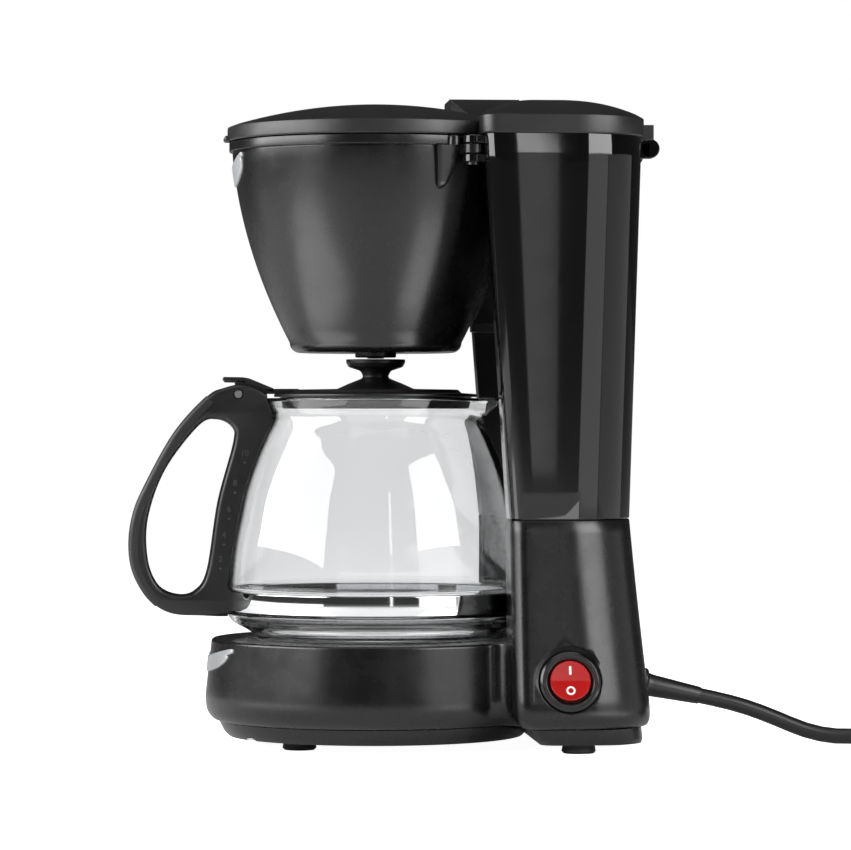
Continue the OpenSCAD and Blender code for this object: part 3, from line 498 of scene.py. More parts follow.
# ---- Cord ----
CORD_D = 6.0
COIL = (-17.0, 228.0)
COIL_END_X = -46.0
PLUG_Y = COIL[1] + 34
PLUG_Z = 8.5
cord_route = [(17, 118.7, 19), (17, 124.6, 17.7), (17, 130.5, 16.3), (17.1, 136.4, 14.6),
    (17.2, 142.2, 12.6), (17.4, 148, 10.3), (17.7, 154, 7.8), (18, 160, 5.5), (18.4, 166, 3.9),
    (18.8, 172, 3.1), (19.2, 178, 3), (19.6, 186, 3), (19.9, 195, 3), (20, 204, 3)]


def coil_points():
    """Three and a quarter turns, the first two flat on the table, the last lying over them."""
    out = []
    steps = 16
    total = 1170
    n = total * steps // 360
    for k in range(1, n + 1):
        turn = total * k / n
        if turn <= 720:
            r = lerp(37, 31, turn / 720)
            z = 3.0
        elif turn <= 1080:
            r = lerp(31, 34, (turn - 720) / 360)
            z = lerp(3.0, 9.0, smooth((turn - 720) / 120))
        else:
            r = 34.0
            z = lerp(9.0, PLUG_Z, (turn - 1080) / 90)
        a = math.radians(turn)
        out.append((COIL[0] + r * math.cos(a), COIL[1] + r * math.sin(a), z))
    return out


def make_cord():
    curve = bpy.data.curves.new("mains_cord", "CURVE")
    curve.dimensions = "3D"
    curve.bevel_depth = CORD_D / 2 * MM
    curve.bevel_resolution = 6
    curve.use_fill_caps = True
    tail = [(-22.5, PLUG_Y, PLUG_Z), (-29, PLUG_Y, PLUG_Z), (-36, PLUG_Y, PLUG_Z),
        (COIL_END_X, PLUG_Y, PLUG_Z)]
    points = cord_route + [(20, 212, 3), (20, 220, 3)] + coil_points() + tail
    spline_made = curve.splines.new("POLY")
    spline_made.points.add(len(points) - 1)
    for p, q in zip(spline_made.points, points):
        p.co = (q[0] * MM, q[1] * MM, q[2] * MM, 1.0)
    spline_made.use_smooth = True
    obj = bpy.data.objects.new("mains_cord", curve)
    bpy.context.scene.collection.objects.link(obj)
    obj.data.materials.append(cord_black)
    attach(obj, "machine")
    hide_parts("cord_tube", "cord_coil")
    return obj, [c * MM for c in points[0]]


cord, cord_exit = make_cord()


# ---- Base housing ----
BASE_CORNER = 28.0
WING_S = 47.5
WING_CORNER = 6.0
WAIST = 6.0
DECK_HOLE_R = 50.25
BASE_TOP_R = BASE_R - 3.2
WING_FLAT = 7.9
COLUMN_HALF_W = 56.0
COLUMN_REAR = 95.7


def side_half_w(z):
    """Half width of the base and column, narrowing upwards in one smooth curve."""
    u = z - SHOULDER_Z
    return BASE_HALF_W - 0.2245 * u + 0.0005 * u * u


def side_rear(z):
    u = z - SHOULDER_Z
    return BASE_REAR - 0.1035 * u + 0.00019 * u * u


def rear_part(half_w, rear, z, front, touch):
    """From the front wall on the right, round the wing, the side and both rear corners, to the left."""
    right = [(touch, front)]
    split = front + WING_CORNER
    right += arc(half_w - WING_CORNER, split, WING_CORNER, -90, 0, 8)
    right += [(half_w, lerp(split, rear - BASE_CORNER, k / 4)) for k in range(1, 4)]
    right += arc(half_w - BASE_CORNER, rear - BASE_CORNER, BASE_CORNER, 0, 90, 30)
    return [(x, s, z) for x, s in right + [(-x, s) for x, s in reversed(right)]]


def waist_touch(r, front):
    """Where the hollow fillet between the round front and the rear block meets the block."""
    return math.sqrt((r + WAIST) ** 2 - (front - WAIST) ** 2)


def round_front(r, front, z, inset=0.0):
    """From the left of the block round the front to the right. inset fades out beside the block."""
    cx = waist_touch(r, front)
    turn = math.degrees(math.atan2(front - WAIST, cx))
    right = arc(0, 0, r, -90, turn, 72)
    right += arc(cx, front - WAIST, WAIST, 180 + turn, 90, 10)[1:-1]
    path = [(-x, s) for x, s in reversed(right)][:-1] + right
    out = []
    for x, s in path:
        w = smooth((front - 1.0 - s) / 9)
        length = math.hypot(x, s) or 1.0
        out.append((x - inset * w * x / length, s - inset * w * s / length, z))
    return out


def hollow_front(z, front, touch, recess):
    """From the left wing along the round hollow in the tower to the right wing."""
    turn = math.degrees(math.asin(front / recess))
    start_x = recess * math.cos(math.radians(turn))
    wall = [(-lerp(touch, start_x, k / 8), front) for k in range(1, 8)]
    hollow = arc(0, 0, recess, 180 - turn, turn, 72)
    path = wall + hollow + [(-x, s) for x, s in reversed(wall)]
    return [(x, s, z) for x, s in path]


def base_levels():
    """(height, how far in from the widest outline) up the outside of the base, which curves under."""
    low, curve, reach = SEAM_Z + 0.2, 11.0, 5.6
    levels = [(low - 0.6, 8.5), (low, 6.2)]
    for k in range(1, 13):
        a = math.radians(90 * k / 12)
        levels.append((low + curve * (1 - math.cos(a)), reach * (1 - math.sin(a))))
    return levels + [(lerp(low + curve, BASE_TOP - 1.2, k / 6), 0.0) for k in range(1, 7)]


def make_base():
    b = Build()
    numbers = []
    fillet = 1.1
    levels = [(z, back, 0.0) for z, back in base_levels()]
    levels += [(BASE_TOP - fillet + fillet * math.sin(a), 0.0, fillet * (1 - math.cos(a)))
        for a in (math.radians(22.5 * k) for k in range(5))]
    for z, back, inset in levels:
        t = (max(z, SHOULDER_Z) - SHOULDER_Z) / (BASE_TOP - SHOULDER_Z)
        r = lerp(BASE_R, BASE_TOP_R, t) - back
        front = WING_S + back
        touch = lerp(waist_touch(r, front), side_half_w(z) - WING_FLAT, smooth(t))
        half_w = side_half_w(max(z, SHOULDER_Z)) - back
        rear = side_rear(max(z, SHOULDER_Z)) - back * 0.25
        numbers.append((b.add(rear_part(half_w, rear, z, front, touch)),
            b.add(round_front(r, front, z, inset))))
    for (ra, fa), (rb, fb) in zip(numbers, numbers[1:]):
        b.bridge(ra + fa, rb + fb)
    rear_low, deck_edge = numbers[-1]

    rows = [(lerp(BASE_TOP, COLUMN_TOP - 0.5, k / 10), 0.0) for k in range(11)]
    rows += [(COLUMN_TOP - 0.15, 0.2), (COLUMN_TOP - 0.02, 0.6)]
    last = None
    for i, (z, inset) in enumerate(rows):
        half_w = side_half_w(z) - inset
        front = WING_S + inset
        hollow = b.add(hollow_front(z, front, half_w - WING_FLAT, RECESS_R + inset))
        if i == 0:
            back, first_hollow = rear_low, hollow
        else:
            back = b.add(rear_part(half_w, side_rear(z) - inset, z, front, half_w - WING_FLAT))
            b.bridge(last[0] + last[1], back + hollow)
        last = (back, hollow)
    b.faces.append(tuple(last[0] + last[1]))

    round_hole = [(DECK_HOLE_R * math.cos(TAU * k / 160), DECK_HOLE_R * math.sin(TAU * k / 160))
        for k in range(160)]
    hole = b.add([(x, s, BASE_TOP) for x, s in round_hole])
    hole_low = b.add([(x, s, BASE_TOP - 2.6) for x, s in round_hole])
    b.bridge(hole, hole_low)
    outer = [rear_low[-1]] + deck_edge + [rear_low[0]] + list(reversed(first_hollow))
    b.fill([outer, hole])
    base = new_object("base_shell", b)
    shell(base, WALL)

    # The seat of the switch: a round seat for the bezel and an arched pocket that fades downwards
    tool = Build()
    frame_here = at_switch()
    tool.turned([(0, -1.9), (12.1, -1.9), (12.1, 6), (0, 6)], 72, frame_here)
    arch_r, arch_foot = 13.6, -11.4
    arch = [(arch_r, arch_foot)] + arc(0, 0, arch_r, 0, 180, 32) + [(-arch_r, arch_foot)]
    part = Build()
    part.loft([[(u, v, lerp(0.15, -1.5, (v - arch_foot) / 25)) for u, v in arch],
        [(u, v, 7) for u, v in arch]])
    tool_arch = Build()
    tool_arch.take(part, frame_here)
    for name, b_tool in (("seat_round", tool), ("seat_arch", tool_arch)):
        cut(base, new_object(name, b_tool))

    # The cord's round seat in the rear wall
    hole_tool = Build()
    hole_tool.turned([(0, -9), (5.1, -9), (5.1, -0.6), (7.0, -0.6), (7.0, 9), (0, 9)], 48,
        relief_place())
    cut(base, new_object("seat_cord", hole_tool))
    bevel(base, 0.25, 2, 50)
    return finish_piece(base, "machine", black_satin, ["base_housing"], 40)


RELIEF_WALL = 101.2
RELIEF_DROP = math.radians(12)


def relief_place():
    """Local Z runs out along the strain relief."""
    place = Matrix.Translation((17, RELIEF_WALL, 24))
    return place @ Matrix.Rotation(-math.pi / 2 - RELIEF_DROP, 4, "X")


make_base()


# ---- Water tank ----
TANK_REAR = 99.8
TANK_WING_S = 37.0


def tank_loop(z, inset=0.0):
    t = (z - COLUMN_TOP) / (TANK_TOP - COLUMN_TOP)
    half_w = lerp(COLUMN_HALF_W, TANK_HALF_W, t) - inset
    rear = lerp(COLUMN_REAR, TANK_REAR, t) - inset
    front = lerp(WING_S, TANK_WING_S, t) + inset
    touch = half_w - WING_FLAT
    return rear_part(half_w, rear, z, front, touch) + hollow_front(z, front, touch, RECESS_R + inset)


def make_tank():
    b = Build()
    rows = [(COLUMN_TOP + 0.02, 0.6), (COLUMN_TOP + 0.12, 0.2), (COLUMN_TOP + 0.5, 0.0)]
    rows += [(lerp(COLUMN_TOP + 0.5, TANK_TOP - 0.5, k / 14), 0.0) for k in range(1, 15)]
    rows += [(TANK_TOP - 0.15, 0.12), (TANK_TOP, 0.45)]
    b.loft([tank_loop(z, inset) for z, inset in rows], cap_end=False)
    tank = new_object("tank_shell", b)
    shell(tank, WALL)
    parts = Build()
    for sx in (-1, 1):
        x = sx * 23.9
        parts.turned([(0, -2.6), (3.3, -2.6), (3.7, -2.2), (3.7, 2.2), (3.3, 2.6), (0, 2.6)], 40,
            Matrix.Translation((x, HINGE_S, HINGE_Z)) @ Matrix.Rotation(math.pi / 2, 4, "Y"))
        parts.box(x - 2.6, x + 2.6, TANK_REAR - 1.6, HINGE_S, HINGE_Z - 3.7, HINGE_Z + 2.3, 0.4)
    for z in (223.3, 230.5):
        parts.lathe([(0, z), (3.7, z), (4, z + 0.3), (4, z + 2.7), (3.7, z + 3), (0, z + 3)], 40,
            centre=(PIVOT_X, PIVOT_S))
        parts.box(PIVOT_X - 3.4, PIVOT_X + 3.8, PIVOT_S, PIVOT_S + 8, z, z + 3, 0.3)
    for x, s in ((34, 78), (-34, 78), (0, 86)):
        parts.lathe([(0, COLUMN_TOP + 2.2), (4, COLUMN_TOP + 2.2), (4, COLUMN_TOP + 12.8),
            (3.6, COLUMN_TOP + 13.2), (0, COLUMN_TOP + 13.2)], 32, centre=(x, s))
    join([tank, new_object("tank_lugs", parts)])
    return finish_piece(tank, "machine", black_gloss, ["water_tank"], 30)


def join(objects):
    """Puts the meshes of the others into the first."""
    bm = bmesh.new()
    for obj in objects:
        bm.from_mesh(obj.data)
    bm.to_mesh(objects[0].data)
    bm.free()
    for obj in objects[1:]:
        bpy.data.objects.remove(obj)
    return objects[0]


make_tank()


# ---- Lids ----
BEAK_NARROW = 13.0
BEAK_WIDE = 30.0
BEAK_LENGTH = 27.0


def dome(name, inset):
    skirt = 5.4
    r = LID_R - inset
    low = LID_Z - 3 * inset
    rim = LID_Z + skirt - inset
    rise = 9.0
    profile = [(0, low), (r, low)] if inset else [(0, low), (r - 0.5, low), (r, low + 0.5)]
    profile += [(r, rim - 0.4), (r - 0.12, rim - 0.12), (r - 0.5, rim + 0.06)]
    for k in range(1, 25):
        q = 1 - k / 24
        profile.append((r * q * 0.985, rim + 0.12 + (rise - 0.12) * (1 - (q * 0.985) ** 2)))
    b = Build()
    b.lathe(profile, 160)
    return new_object(name, b)


def pillow(name, inset):
    """The part of the lid over the tank: a rounded block with a cushion top."""
    half_w = TANK_HALF_W + 0.8 - inset
    front = TANK_WING_S - 0.8 + inset
    rear = TANK_REAR + 0.8 - inset
    rim = LID_Z + 7 - inset
    rise = LID_TOP - inset - rim
    middle = (front + rear) / 2
    corner = BASE_CORNER - inset
    outline = arc(half_w - WING_CORNER, front + WING_CORNER, WING_CORNER, -90, 0, 8)
    outline += arc(half_w - corner, rear - corner, corner, 0, 90, 16)
    outline += [(-x, s) for x, s in reversed(outline)]
    low = LID_Z - 3 * inset
    rows = [(low, 1.0)] if inset else [(low, 0.992), (low + 0.5, 1.0)]
    rows += [(rim - 0.5, 1.0), (rim - 0.15, 0.998), (rim + 0.1, 0.992)]
    for k in range(1, 15):
        scale = 0.985 * (1 - k / 15)
        rows.append((rim + 0.25 + (rise - 0.25) * (1 - scale ** 2.2), scale))
    rows.append((rim + rise, 0.004))
    b = Build()
    b.loft([[(x * k, middle + (s - middle) * k, z) for x, s in outline] for z, k in rows])
    return new_object(name, b)


def beak(name, inset):
    """The raised roof over the hot water spout: a level ridge between two slopes."""
    ridge = beak_box[5] - inset
    low = LID_Z + 7.4 - inset
    front = beak_box[2] - BREW_Y + inset
    rear = front + BEAK_LENGTH
    slope_rear = front + 16 - inset
    narrow = BEAK_NARROW - inset
    wide = BEAK_WIDE - inset
    edge = 0.0 if inset else 0.8
    points = []
    for sx in (-1, 1):
        points += [(sx * narrow, front, low - 5), (sx * narrow, front, ridge - edge),
            (sx * (narrow - edge), front, ridge), (sx * (narrow - edge), rear, ridge),
            (sx * narrow, rear, ridge - edge), (sx * narrow, rear, ridge - 4)]
        points += [(sx * wide, s, z) for s in (front + 8, slope_rear) for z in (low - 5, low)]
    b = Build()
    b.add(points)
    obj = new_object(name, b)
    bm = bmesh.new()
    bm.from_mesh(obj.data)
    made = bmesh.ops.convex_hull(bm, input=list(bm.verts))
    bmesh.ops.delete(bm, geom=made["geom_interior"], context="VERTS")
    bm.to_mesh(obj.data)
    bm.free()
    return obj


def make_lid():
    outer = dome("lid_shell", 0.0)
    cut(outer, pillow("p", 0.0), "UNION")
    cut(outer, beak("q", 0.0), "UNION")
    inner = dome("inner", WALL)
    cut(inner, pillow("p", WALL), "UNION")
    cut(inner, beak("q", WALL), "UNION")
    room = Build()
    room.box(-9, 9, 30, 50, LID_Z - 1, LID_Z + 8, 0.1)
    room.box(-28, 28, TANK_REAR - 6, TANK_REAR + 6, LID_Z - 1, LID_Z + 2.4, 0.1)
    cut(outer, inner)
    cut(outer, new_object("room", room))
    tab = Build()
    tab.box(-7, 7, -LID_R - 1.4, -LID_R + 2, LID_Z, LID_Z + 2, 0.6)
    join([outer, new_object("tab", tab)])
    bevel(outer, 0.3, 2, 28)
    return finish_piece(outer, "top_lid", black_lid, ["top_lid", "lid_beak"], 26)


make_lid()


# ---- Filter basket ----
def basket_radius(z):
    u = BAND_Z - z
    return 55.8 - 0.087 * u - 0.00296 * u * u


def basket_outside(d=0.0):
    """The wall from the middle of the floor up to the shoulder under the rim."""
    low_r = basket_radius(BASKET_BOTTOM + 4) - d
    corner = 4 - d / 2
    path = [(0, BASKET_BOTTOM + d)]
    path += [(x, z) for x, z in arc(low_r - corner, BASKET_BOTTOM + d + corner, corner, -90, 0, 8)]
    for k in range(1, 31):
        z = lerp(BASKET_BOTTOM + 6, BAND_Z, k / 30)
        path.append((basket_radius(z) - d, z))
    return path


def make_basket():
    z = BAND_Z
    top = BASKET_TOP
    outside = basket_outside()[:-1]
    outside[0] = (3.5, BASKET_BOTTOM - 1.8)
    outside[1:1] = [(7.6, BASKET_BOTTOM - 1.8), (8, BASKET_BOTTOM - 1.4), (8, BASKET_BOTTOM)]
    rim = rounded([(basket_radius(z) - 0.1, z - 0.1, 0), (55.1, z, 0.1), (55.1, z + 0.7, 0.1),
        (BASKET_R, z + 0.7, 0.4), (BASKET_R, top, 0.5), (54.6, top, 0.4), (54.6, z + 0.3, 0.3),
        (53.6, z - 0.6, 0.3), (53.5, z - 3, 0)], 4)
    inside = [(r, zz) for r, zz in reversed(basket_outside(WALL)) if zz < z - 3.2]
    inside[-1] = (3.5, BASKET_BOTTOM + WALL)
    b = Build()
    b.lathe(outside + rim + inside, 192, closed=True)
    basket = new_object("basket_shell", b)

    parts = Build()
    low, high = 226.6, 230.2
    parts.lathe([(0, low), (3.7, low), (4, low + 0.3), (4, high - 0.3), (3.7, high), (0, high)], 40,
        centre=(PIVOT_X, PIVOT_S))
    turn = Matrix.Rotation(math.atan2(PIVOT_S, PIVOT_X), 4, "Z")
    parts.box(52.8, 59, -3.6, 3.6, low, high, 0.3, turn)
    turn = Matrix.Rotation(math.radians(27.5), 4, "Z")
    boss = [(0, 229.7), (2.4, 229.7), (2.6, 229.9), (2.6, top - 0.8), (2.3, top - 0.2), (1.6, top),
        (0, top)]
    boss_at = turn @ Vector((BASKET_R, 0, 0))
    parts.lathe(boss, 32, centre=(boss_at.x, boss_at.y))
    # The tongue below the rim: upright at its front edge, curved at its rear, rounded at its tip
    rows = []
    for k in range(17):
        t = k / 16
        zz = lerp(high - 0.4, 213.2, t)
        front_a = math.radians(lerp(20.0, 21.5, t))
        rear_a = math.radians(lerp(31.5, 24.5, t ** 1.2))
        if t > 0.85:
            squeeze = math.sqrt(max(1 - ((t - 0.85) / 0.15) ** 2, 0.0))
            mid_a = (front_a + rear_a) / 2
            front_a = lerp(mid_a, front_a, max(squeeze, 0.25))
            rear_a = lerp(mid_a, rear_a, max(squeeze, 0.25))
        stand = lerp(2.4, 1.8, t) if t < 0.9 else lerp(1.8, 0.3, (t - 0.9) / 0.1)
        r0 = basket_radius(min(zz, BAND_Z)) - 1.0
        r1 = basket_radius(min(zz, BAND_Z)) + stand
        loop = []
        for f in range(9):
            a = lerp(front_a, rear_a, f / 8)
            crown = r1 - 0.5 * (2 * f / 8 - 1) ** 4
            loop.append((crown * math.cos(a), crown * math.sin(a), zz))
        loop += [(r0 * math.cos(rear_a), r0 * math.sin(rear_a), zz),
            (r0 * math.cos(front_a), r0 * math.sin(front_a), zz)]
        rows.append(loop)
    parts.loft(rows)
    join([basket, new_object("ears", parts)])
    return finish_piece(basket, "basket", black_satin, ["filter_basket"], 35)


make_basket()


# ---- Badges ----
def shield(half, side_half, top, side_z, low):
    """Outline of a plate with a level top and a curved lower edge, as (x, z), anticlockwise."""
    out = rounded([(side_half * 0.98, side_z, 0), (half, side_z + 1.0, 0.8), (half, top, 0.8),
        (-half, top, 0.8), (-half, side_z + 1.0, 0.8), (-side_half * 0.98, side_z, 0)], 4)
    for k in range(1, 40):
        a = math.pi + math.pi * k / 40
        out.append((side_half * math.cos(a), side_z + (side_z - low) * math.sin(a)))
    return out


def make_badge(name, outline, radius, body, node):
    """A thin plate wrapped on the front of a round wall."""
    n = len(outline)
    mid_z = sum(z for x, z in outline) / n
    steps = [(1.0, -0.3), (1.0, 0.45), (0.992, 0.62), (0.975, 0.7), (0.9, 0.72), (0.75, 0.72),
        (0.55, 0.72), (0.3, 0.72), (0.1, 0.72)]
    loops = []
    for scale, off in steps:
        loop = []
        for x, z in outline:
            xx, zz = x * scale, mid_z + (z - mid_z) * scale
            r = radius(zz) + off
            loop.append((xx, -math.sqrt(r * r - xx * xx), zz))
        loops.append(loop)
    b = Build()
    b.loft(loops, cap_start=False)
    return piece(name, b, body, silver, [node], 28)


def base_radius(z):
    return lerp(BASE_R, BASE_TOP_R, (z - SHOULDER_Z) / (BASE_TOP - SHOULDER_Z))


make_badge("badge_basket", shield(19, 18, BAND_Z - 0.4, BAND_Z - 2.6, 216.5), basket_radius, "basket",
    "basket_badge")
make_badge("badge_base", shield(31, 28, 38.6, 36, 28.6), base_radius, "machine", "base_badge")


# ---- Carafe ----
BAND_LOW, BAND_HIGH = 52.0, 59.5
GLASS_WALL = 2.2
glass_low = [(43, FOOT_Z), (46, FOOT_Z + 0.3), (50.5, 44.9), (55.5, 47.6), (GLASS_R, 50.9)]
glass_high = [(GLASS_R - 0.3, 60.4), (GLASS_R, 63.5), (56.6, 76.8), (54.6, 87), (52, 98.7),
    (48.4, 109.5), (44.6, 118.5), (41.8, 124.6), (41, 128), (42.2, 131.5), (42.9, RIM_Z - 0.8)]


def glass_outside(d, steps=8):
    low = [(r - d, z + d) for r, z in spline(glass_low, steps)]
    high = [(r - d, z) for r, z in spline(glass_high, steps)]
    waist = rounded([(*low[-1], 0), (GLASS_R - 0.4 - d, BAND_LOW - 0.6, 0.4),
        (GROOVE_R - d, BAND_LOW - 0.1, 0.4), (GROOVE_R - d, BAND_HIGH + 0.1, 0.4), (*high[0], 0)], 4)
    return low + waist[1:-1] + high


def spout_push(angle, z):
    """How far the rim is drawn out towards the rear to pour."""
    away = math.atan2(math.sin(angle - math.pi / 2), math.cos(angle - math.pi / 2))
    return 5.6 * math.exp(-(away / 0.24) ** 2) * smooth((z - 123.5) / 9.5)


def make_glass():
    outside = glass_outside(0.0)
    inside = glass_outside(GLASS_WALL)
    lip = [(42.9, RIM_Z - 0.5), (42.5, RIM_Z - 0.1), (41.8, RIM_Z), (41.1, RIM_Z - 0.2),
        (40.8, RIM_Z - 0.7)]
    foot = [(0, FOOT_Z + 1.4), (36, FOOT_Z + 1.2), (39, FOOT_Z + 0.5), (41.5, FOOT_Z)]
    floor_in = [(inside[0][0] - 4, inside[0][1] + 0.5), (0, inside[0][1] + 1.3)]
    profile = foot + outside + lip + list(reversed(inside)) + floor_in
    b = Build()
    b.lathe(profile, 192, push=spout_push)
    return piece("glass_body", b, "carafe", clear_glass, ["carafe_glass"], 60)


def make_band():
    b = Build()
    r0, r1 = GROOVE_R + 0.05, GROOVE_R + 0.7
    profile = rounded([(r0, (BAND_LOW + BAND_HIGH) / 2, 0), (r0, BAND_LOW, 0.2), (r1, BAND_LOW, 0.3),
        (r1, BAND_HIGH, 0.3), (r0, BAND_HIGH, 0.2), (r0, (BAND_LOW + BAND_HIGH) / 2 + 0.01, 0)], 3)
    b.lathe(profile, 256, closed=True)
    for sx in (-1, 1):
        x0, x1 = sorted((sx * 2.7, sx * 4.0))
        b.box(x0, x1, -GROOVE_R - 6, -GROOVE_R - 0.3, BAND_LOW + 1, BAND_HIGH - 1, 0.2)
    return piece("band_steel", b, "carafe", mirror, ["carafe_band"], 35)


HANDLE_W = 16.0
LID_PIN = (-53.8, 135.9)
handle_outer = [(-36, 131), (-43.7, 136.9), (-51.5, 139.7), (-59, 138.4), (-65.6, 135),
    (-78.5, 120.6), (-90.4, 99), (-94.6, 88), (-95.9, 76.7), (-94.2, 66.5), (-88.3, 56.6),
    (-80, 51.2), (-68, 50.2), (-56, 50.2), (-50, 54), (-50, 75), (-44, 103), (-38, 122)]
handle_hole = [(-61.9, 126.1), (-56, 123.2), (-55.4, 117), (-61.5, 94.1), (-65.7, 67.6),
    (-70.5, 59.6), (-77.2, 58.2), (-84.5, 61.8), (-88.6, 72), (-88.6, 87.8), (-82, 106.6),
    (-69, 123.7)]


def upright(b, outer, hole, width, fillet, steps=4):
    """A flat ring shape in the middle plane, width across, with rounded edges."""
    turns = [math.radians(90 * k / steps) for k in range(steps + 1)]
    sections = [(fillet * (1 - math.cos(a)) - width / 2, fillet * (1 - math.sin(a))) for a in turns]
    sections += [(-x, d) for x, d in reversed(sections)]
    rows = []
    for x, d in sections:
        outer_row = b.add([(x, s, z) for s, z in shifted(outer, -d)])
        hole_row = b.add([(x, s, z) for s, z in shifted(hole, -d)]) if hole else None
        rows.append((outer_row, hole_row))
    for (oa, ha), (ob, hb) in zip(rows, rows[1:]):
        b.bridge(oa, ob)
        if hole:
            b.bridge(ha, hb)
    for row in (rows[0], rows[-1]):
        b.fill([r for r in row if r])


def anticlockwise(outline):
    area = sum(a[0] * b[1] - b[0] * a[1] for a, b in zip(outline, outline[1:] + outline[:1]))
    return outline if area > 0 else list(reversed(outline))


def make_handle():
    outer = anticlockwise(spline(handle_outer, 8, closed=True))
    hole = list(reversed(anticlockwise(spline(handle_hole, 8, closed=True))))
    b = Build()
    upright(b, outer, hole, HANDLE_W, 1.7)
    handle = new_object("handle_body", b)

    clear = Build()
    body = [(0, FOOT_Z)] + glass_outside(-0.35, 6) + [(43.4, 150), (0, 150)]
    clear.lathe(body, 128)
    cut(handle, new_object("clear", clear))
    room = Build()
    room.box(-4.3, 4.3, LID_PIN[0] - 5.6, LID_PIN[0] + 30, LID_PIN[1] - 4.4, LID_PIN[1] + 16, 0.05)
    cut(handle, new_object("room", room))
    lug_room = Build()
    lug_room.box(-4.2, 4.2, -GROOVE_R - 6.2, -GROOVE_R + 2, BAND_LOW + 0.6, BAND_HIGH - 0.6, 0.05)
    cut(handle, new_object("lug_room", lug_room))
    for sx in (-1, 1):
        pin = Build()
        place = Matrix.Translation((sx * HANDLE_W / 2, *LID_PIN))
        place = place @ Matrix.Rotation(sx * math.pi / 2, 4, "Y")
        pin.turned([(0, -1.0), (2.1, -1.0), (2.1, 2), (0, 2)], 32, place)
        cut(handle, new_object("pin_seat", pin))
    return finish_piece(handle, "carafe", black_matte, ["carafe_handle"], 30)


def make_grip():
    """The soft strip round the outside of the grip, a little proud of the handle."""
    outer = anticlockwise(spline(handle_outer, 8, closed=True))
    kept = [p for p in outer if p[0] < -64.5 and not (p[1] < 54 and p[0] > -85)]
    kept.sort(key=lambda p: -math.atan2(p[1] - 92, -(p[0] + 70)))
    half = HANDLE_W / 2 + 0.25
    depth, proud, edge = 3.4, 0.3, 1.6
    section = [(-half, -depth)]
    section += [(-half + edge * (1 - math.cos(a)), proud - edge + edge * math.sin(a))
        for a in (math.radians(turn) for turn in (0, 22, 45, 68, 90))]
    section += [(-x, d) for x, d in reversed(section)]
    n = len(kept)
    loops = []
    for i, p in enumerate(kept):
        a, c = kept[max(i - 1, 0)], kept[min(i + 1, n - 1)]
        length = math.hypot(c[0] - a[0], c[1] - a[1])
        out_s, out_z = (c[1] - a[1]) / length, -(c[0] - a[0]) / length
        if out_s * (p[0] + 62) + out_z * (p[1] - 92) < 0:
            out_s, out_z = -out_s, -out_z
        loops.append([(x, p[0] + out_s * d, p[1] + out_z * d) for x, d in section])
    b = Build()
    b.loft(loops)
    return piece("grip_strip", b, "carafe", soft_grip, ["handle_grip"], 35)


def text_mesh(body, size, depth):
    """Slightly raised figures in local XY, in millimetres."""
    curve = bpy.data.curves.new("mark", "FONT")
    curve.body = body
    curve.size = size
    curve.align_x = "CENTER"
    curve.align_y = "CENTER"
    curve.extrude = depth
    obj = bpy.data.objects.new("mark", curve)
    bpy.context.scene.collection.objects.link(obj)
    bpy.context.view_layer.update()
    made = bpy.data.meshes.new_from_object(obj.evaluated_get(bpy.context.evaluated_depsgraph_get()))
    part = Build()
    part.points = [tuple(v.co) for v in made.vertices]
    part.faces = [tuple(p.vertices) for p in made.polygons]
    bpy.data.objects.remove(obj)
    bpy.data.meshes.remove(made)
    return part


SCALE_MARKS = [(-51.3, 113.0), (-55.0, 101.4), (-57.4, 91.3), (-59.3, 81.3), (-60.7, 72.0)]


def make_scale():
    """Cup numbers with a dot under each, on both sides of the handle's inner leg."""
    b = Build()
    for number, (s, z) in zip((10, 8, 6, 4, 2), SCALE_MARKS):
        for sx in (-1, 1):
            turn = Matrix(((0, 0, sx, 0), (sx, 0, 0, 0), (0, 1, 0, 0), (0, 0, 0, 1)))
            place = Matrix.Translation((sx * (HANDLE_W / 2 + 0.02), s, z)) @ turn
            b.take(text_mesh(str(number), 3.2, 0.2), place)
            dot = Build()
            dot.lathe([(0, -0.06), (0.45, -0.06), (0.45, 0.12), (0, 0.12)], 20, centre=(0, -3.6))
            b.take(dot, place)
    return piece("cup_scale", b, "carafe", grey_mark, (), 30)


def make_carafe_lid():
    profile = rounded([(0, 134.8, 0), (33.8, 134.8, 0.2), (34, 130.6, 0.3), (36, 130.6, 0.5),
        (37.4, 134.8, 0.2), (39.6, 134.8, 0.3), (39.6, 136, 0.6), (33.4, 136.4, 1.2), (32.2, 137.7, 1.2), (15, 138, 1.5),
        (10.6, 140, 1.5), (4.6, 142.4, 1.4), (6, 145, 1.5), (10.6, 146.5, 1.2), (11.5, 148.2, 1.0),
        (11.5, 149.5, 0.3), (9.8, 149.5, 0.3), (8, 147.4, 1.0), (2.5, 146.6, 0.4), (2.5, 140, 0.2),
        (0, 140, 0)], 4)
    b = Build()
    b.lathe(profile, 128)
    b.box(-4, 4, -46, -30, 136, 138, 0.3)
    lever = [(-59.6, 141.6), (-59.2, 142.6), (-52, 142.5), (-49.5, 142.1), (-40, 138.2), (-40, 136.4),
        (-50, 138.6), (-52, 140.3), (-58.8, 140.5)]
    upright(b, anticlockwise(lever), None, 8.0, 0.4, 3)
    place = Matrix.Translation((0, *LID_PIN)) @ Matrix.Rotation(math.pi / 2, 4, "Y")
    b.turned([(0, -4), (3.2, -4), (3.4, -3.8), (3.4, 3.8), (3.2, 4), (0, 4)], 40, place)
    b.box(-4, 4, LID_PIN[0] - 1, LID_PIN[0] + 3, LID_PIN[1], LID_PIN[1] + 5.5, 0.3)
    return piece("carafe_cover", b, "carafe", black_matte, ["carafe_lid"], 30)


make_glass()
make_band()
make_handle()
make_grip()
make_scale()
make_carafe_lid()


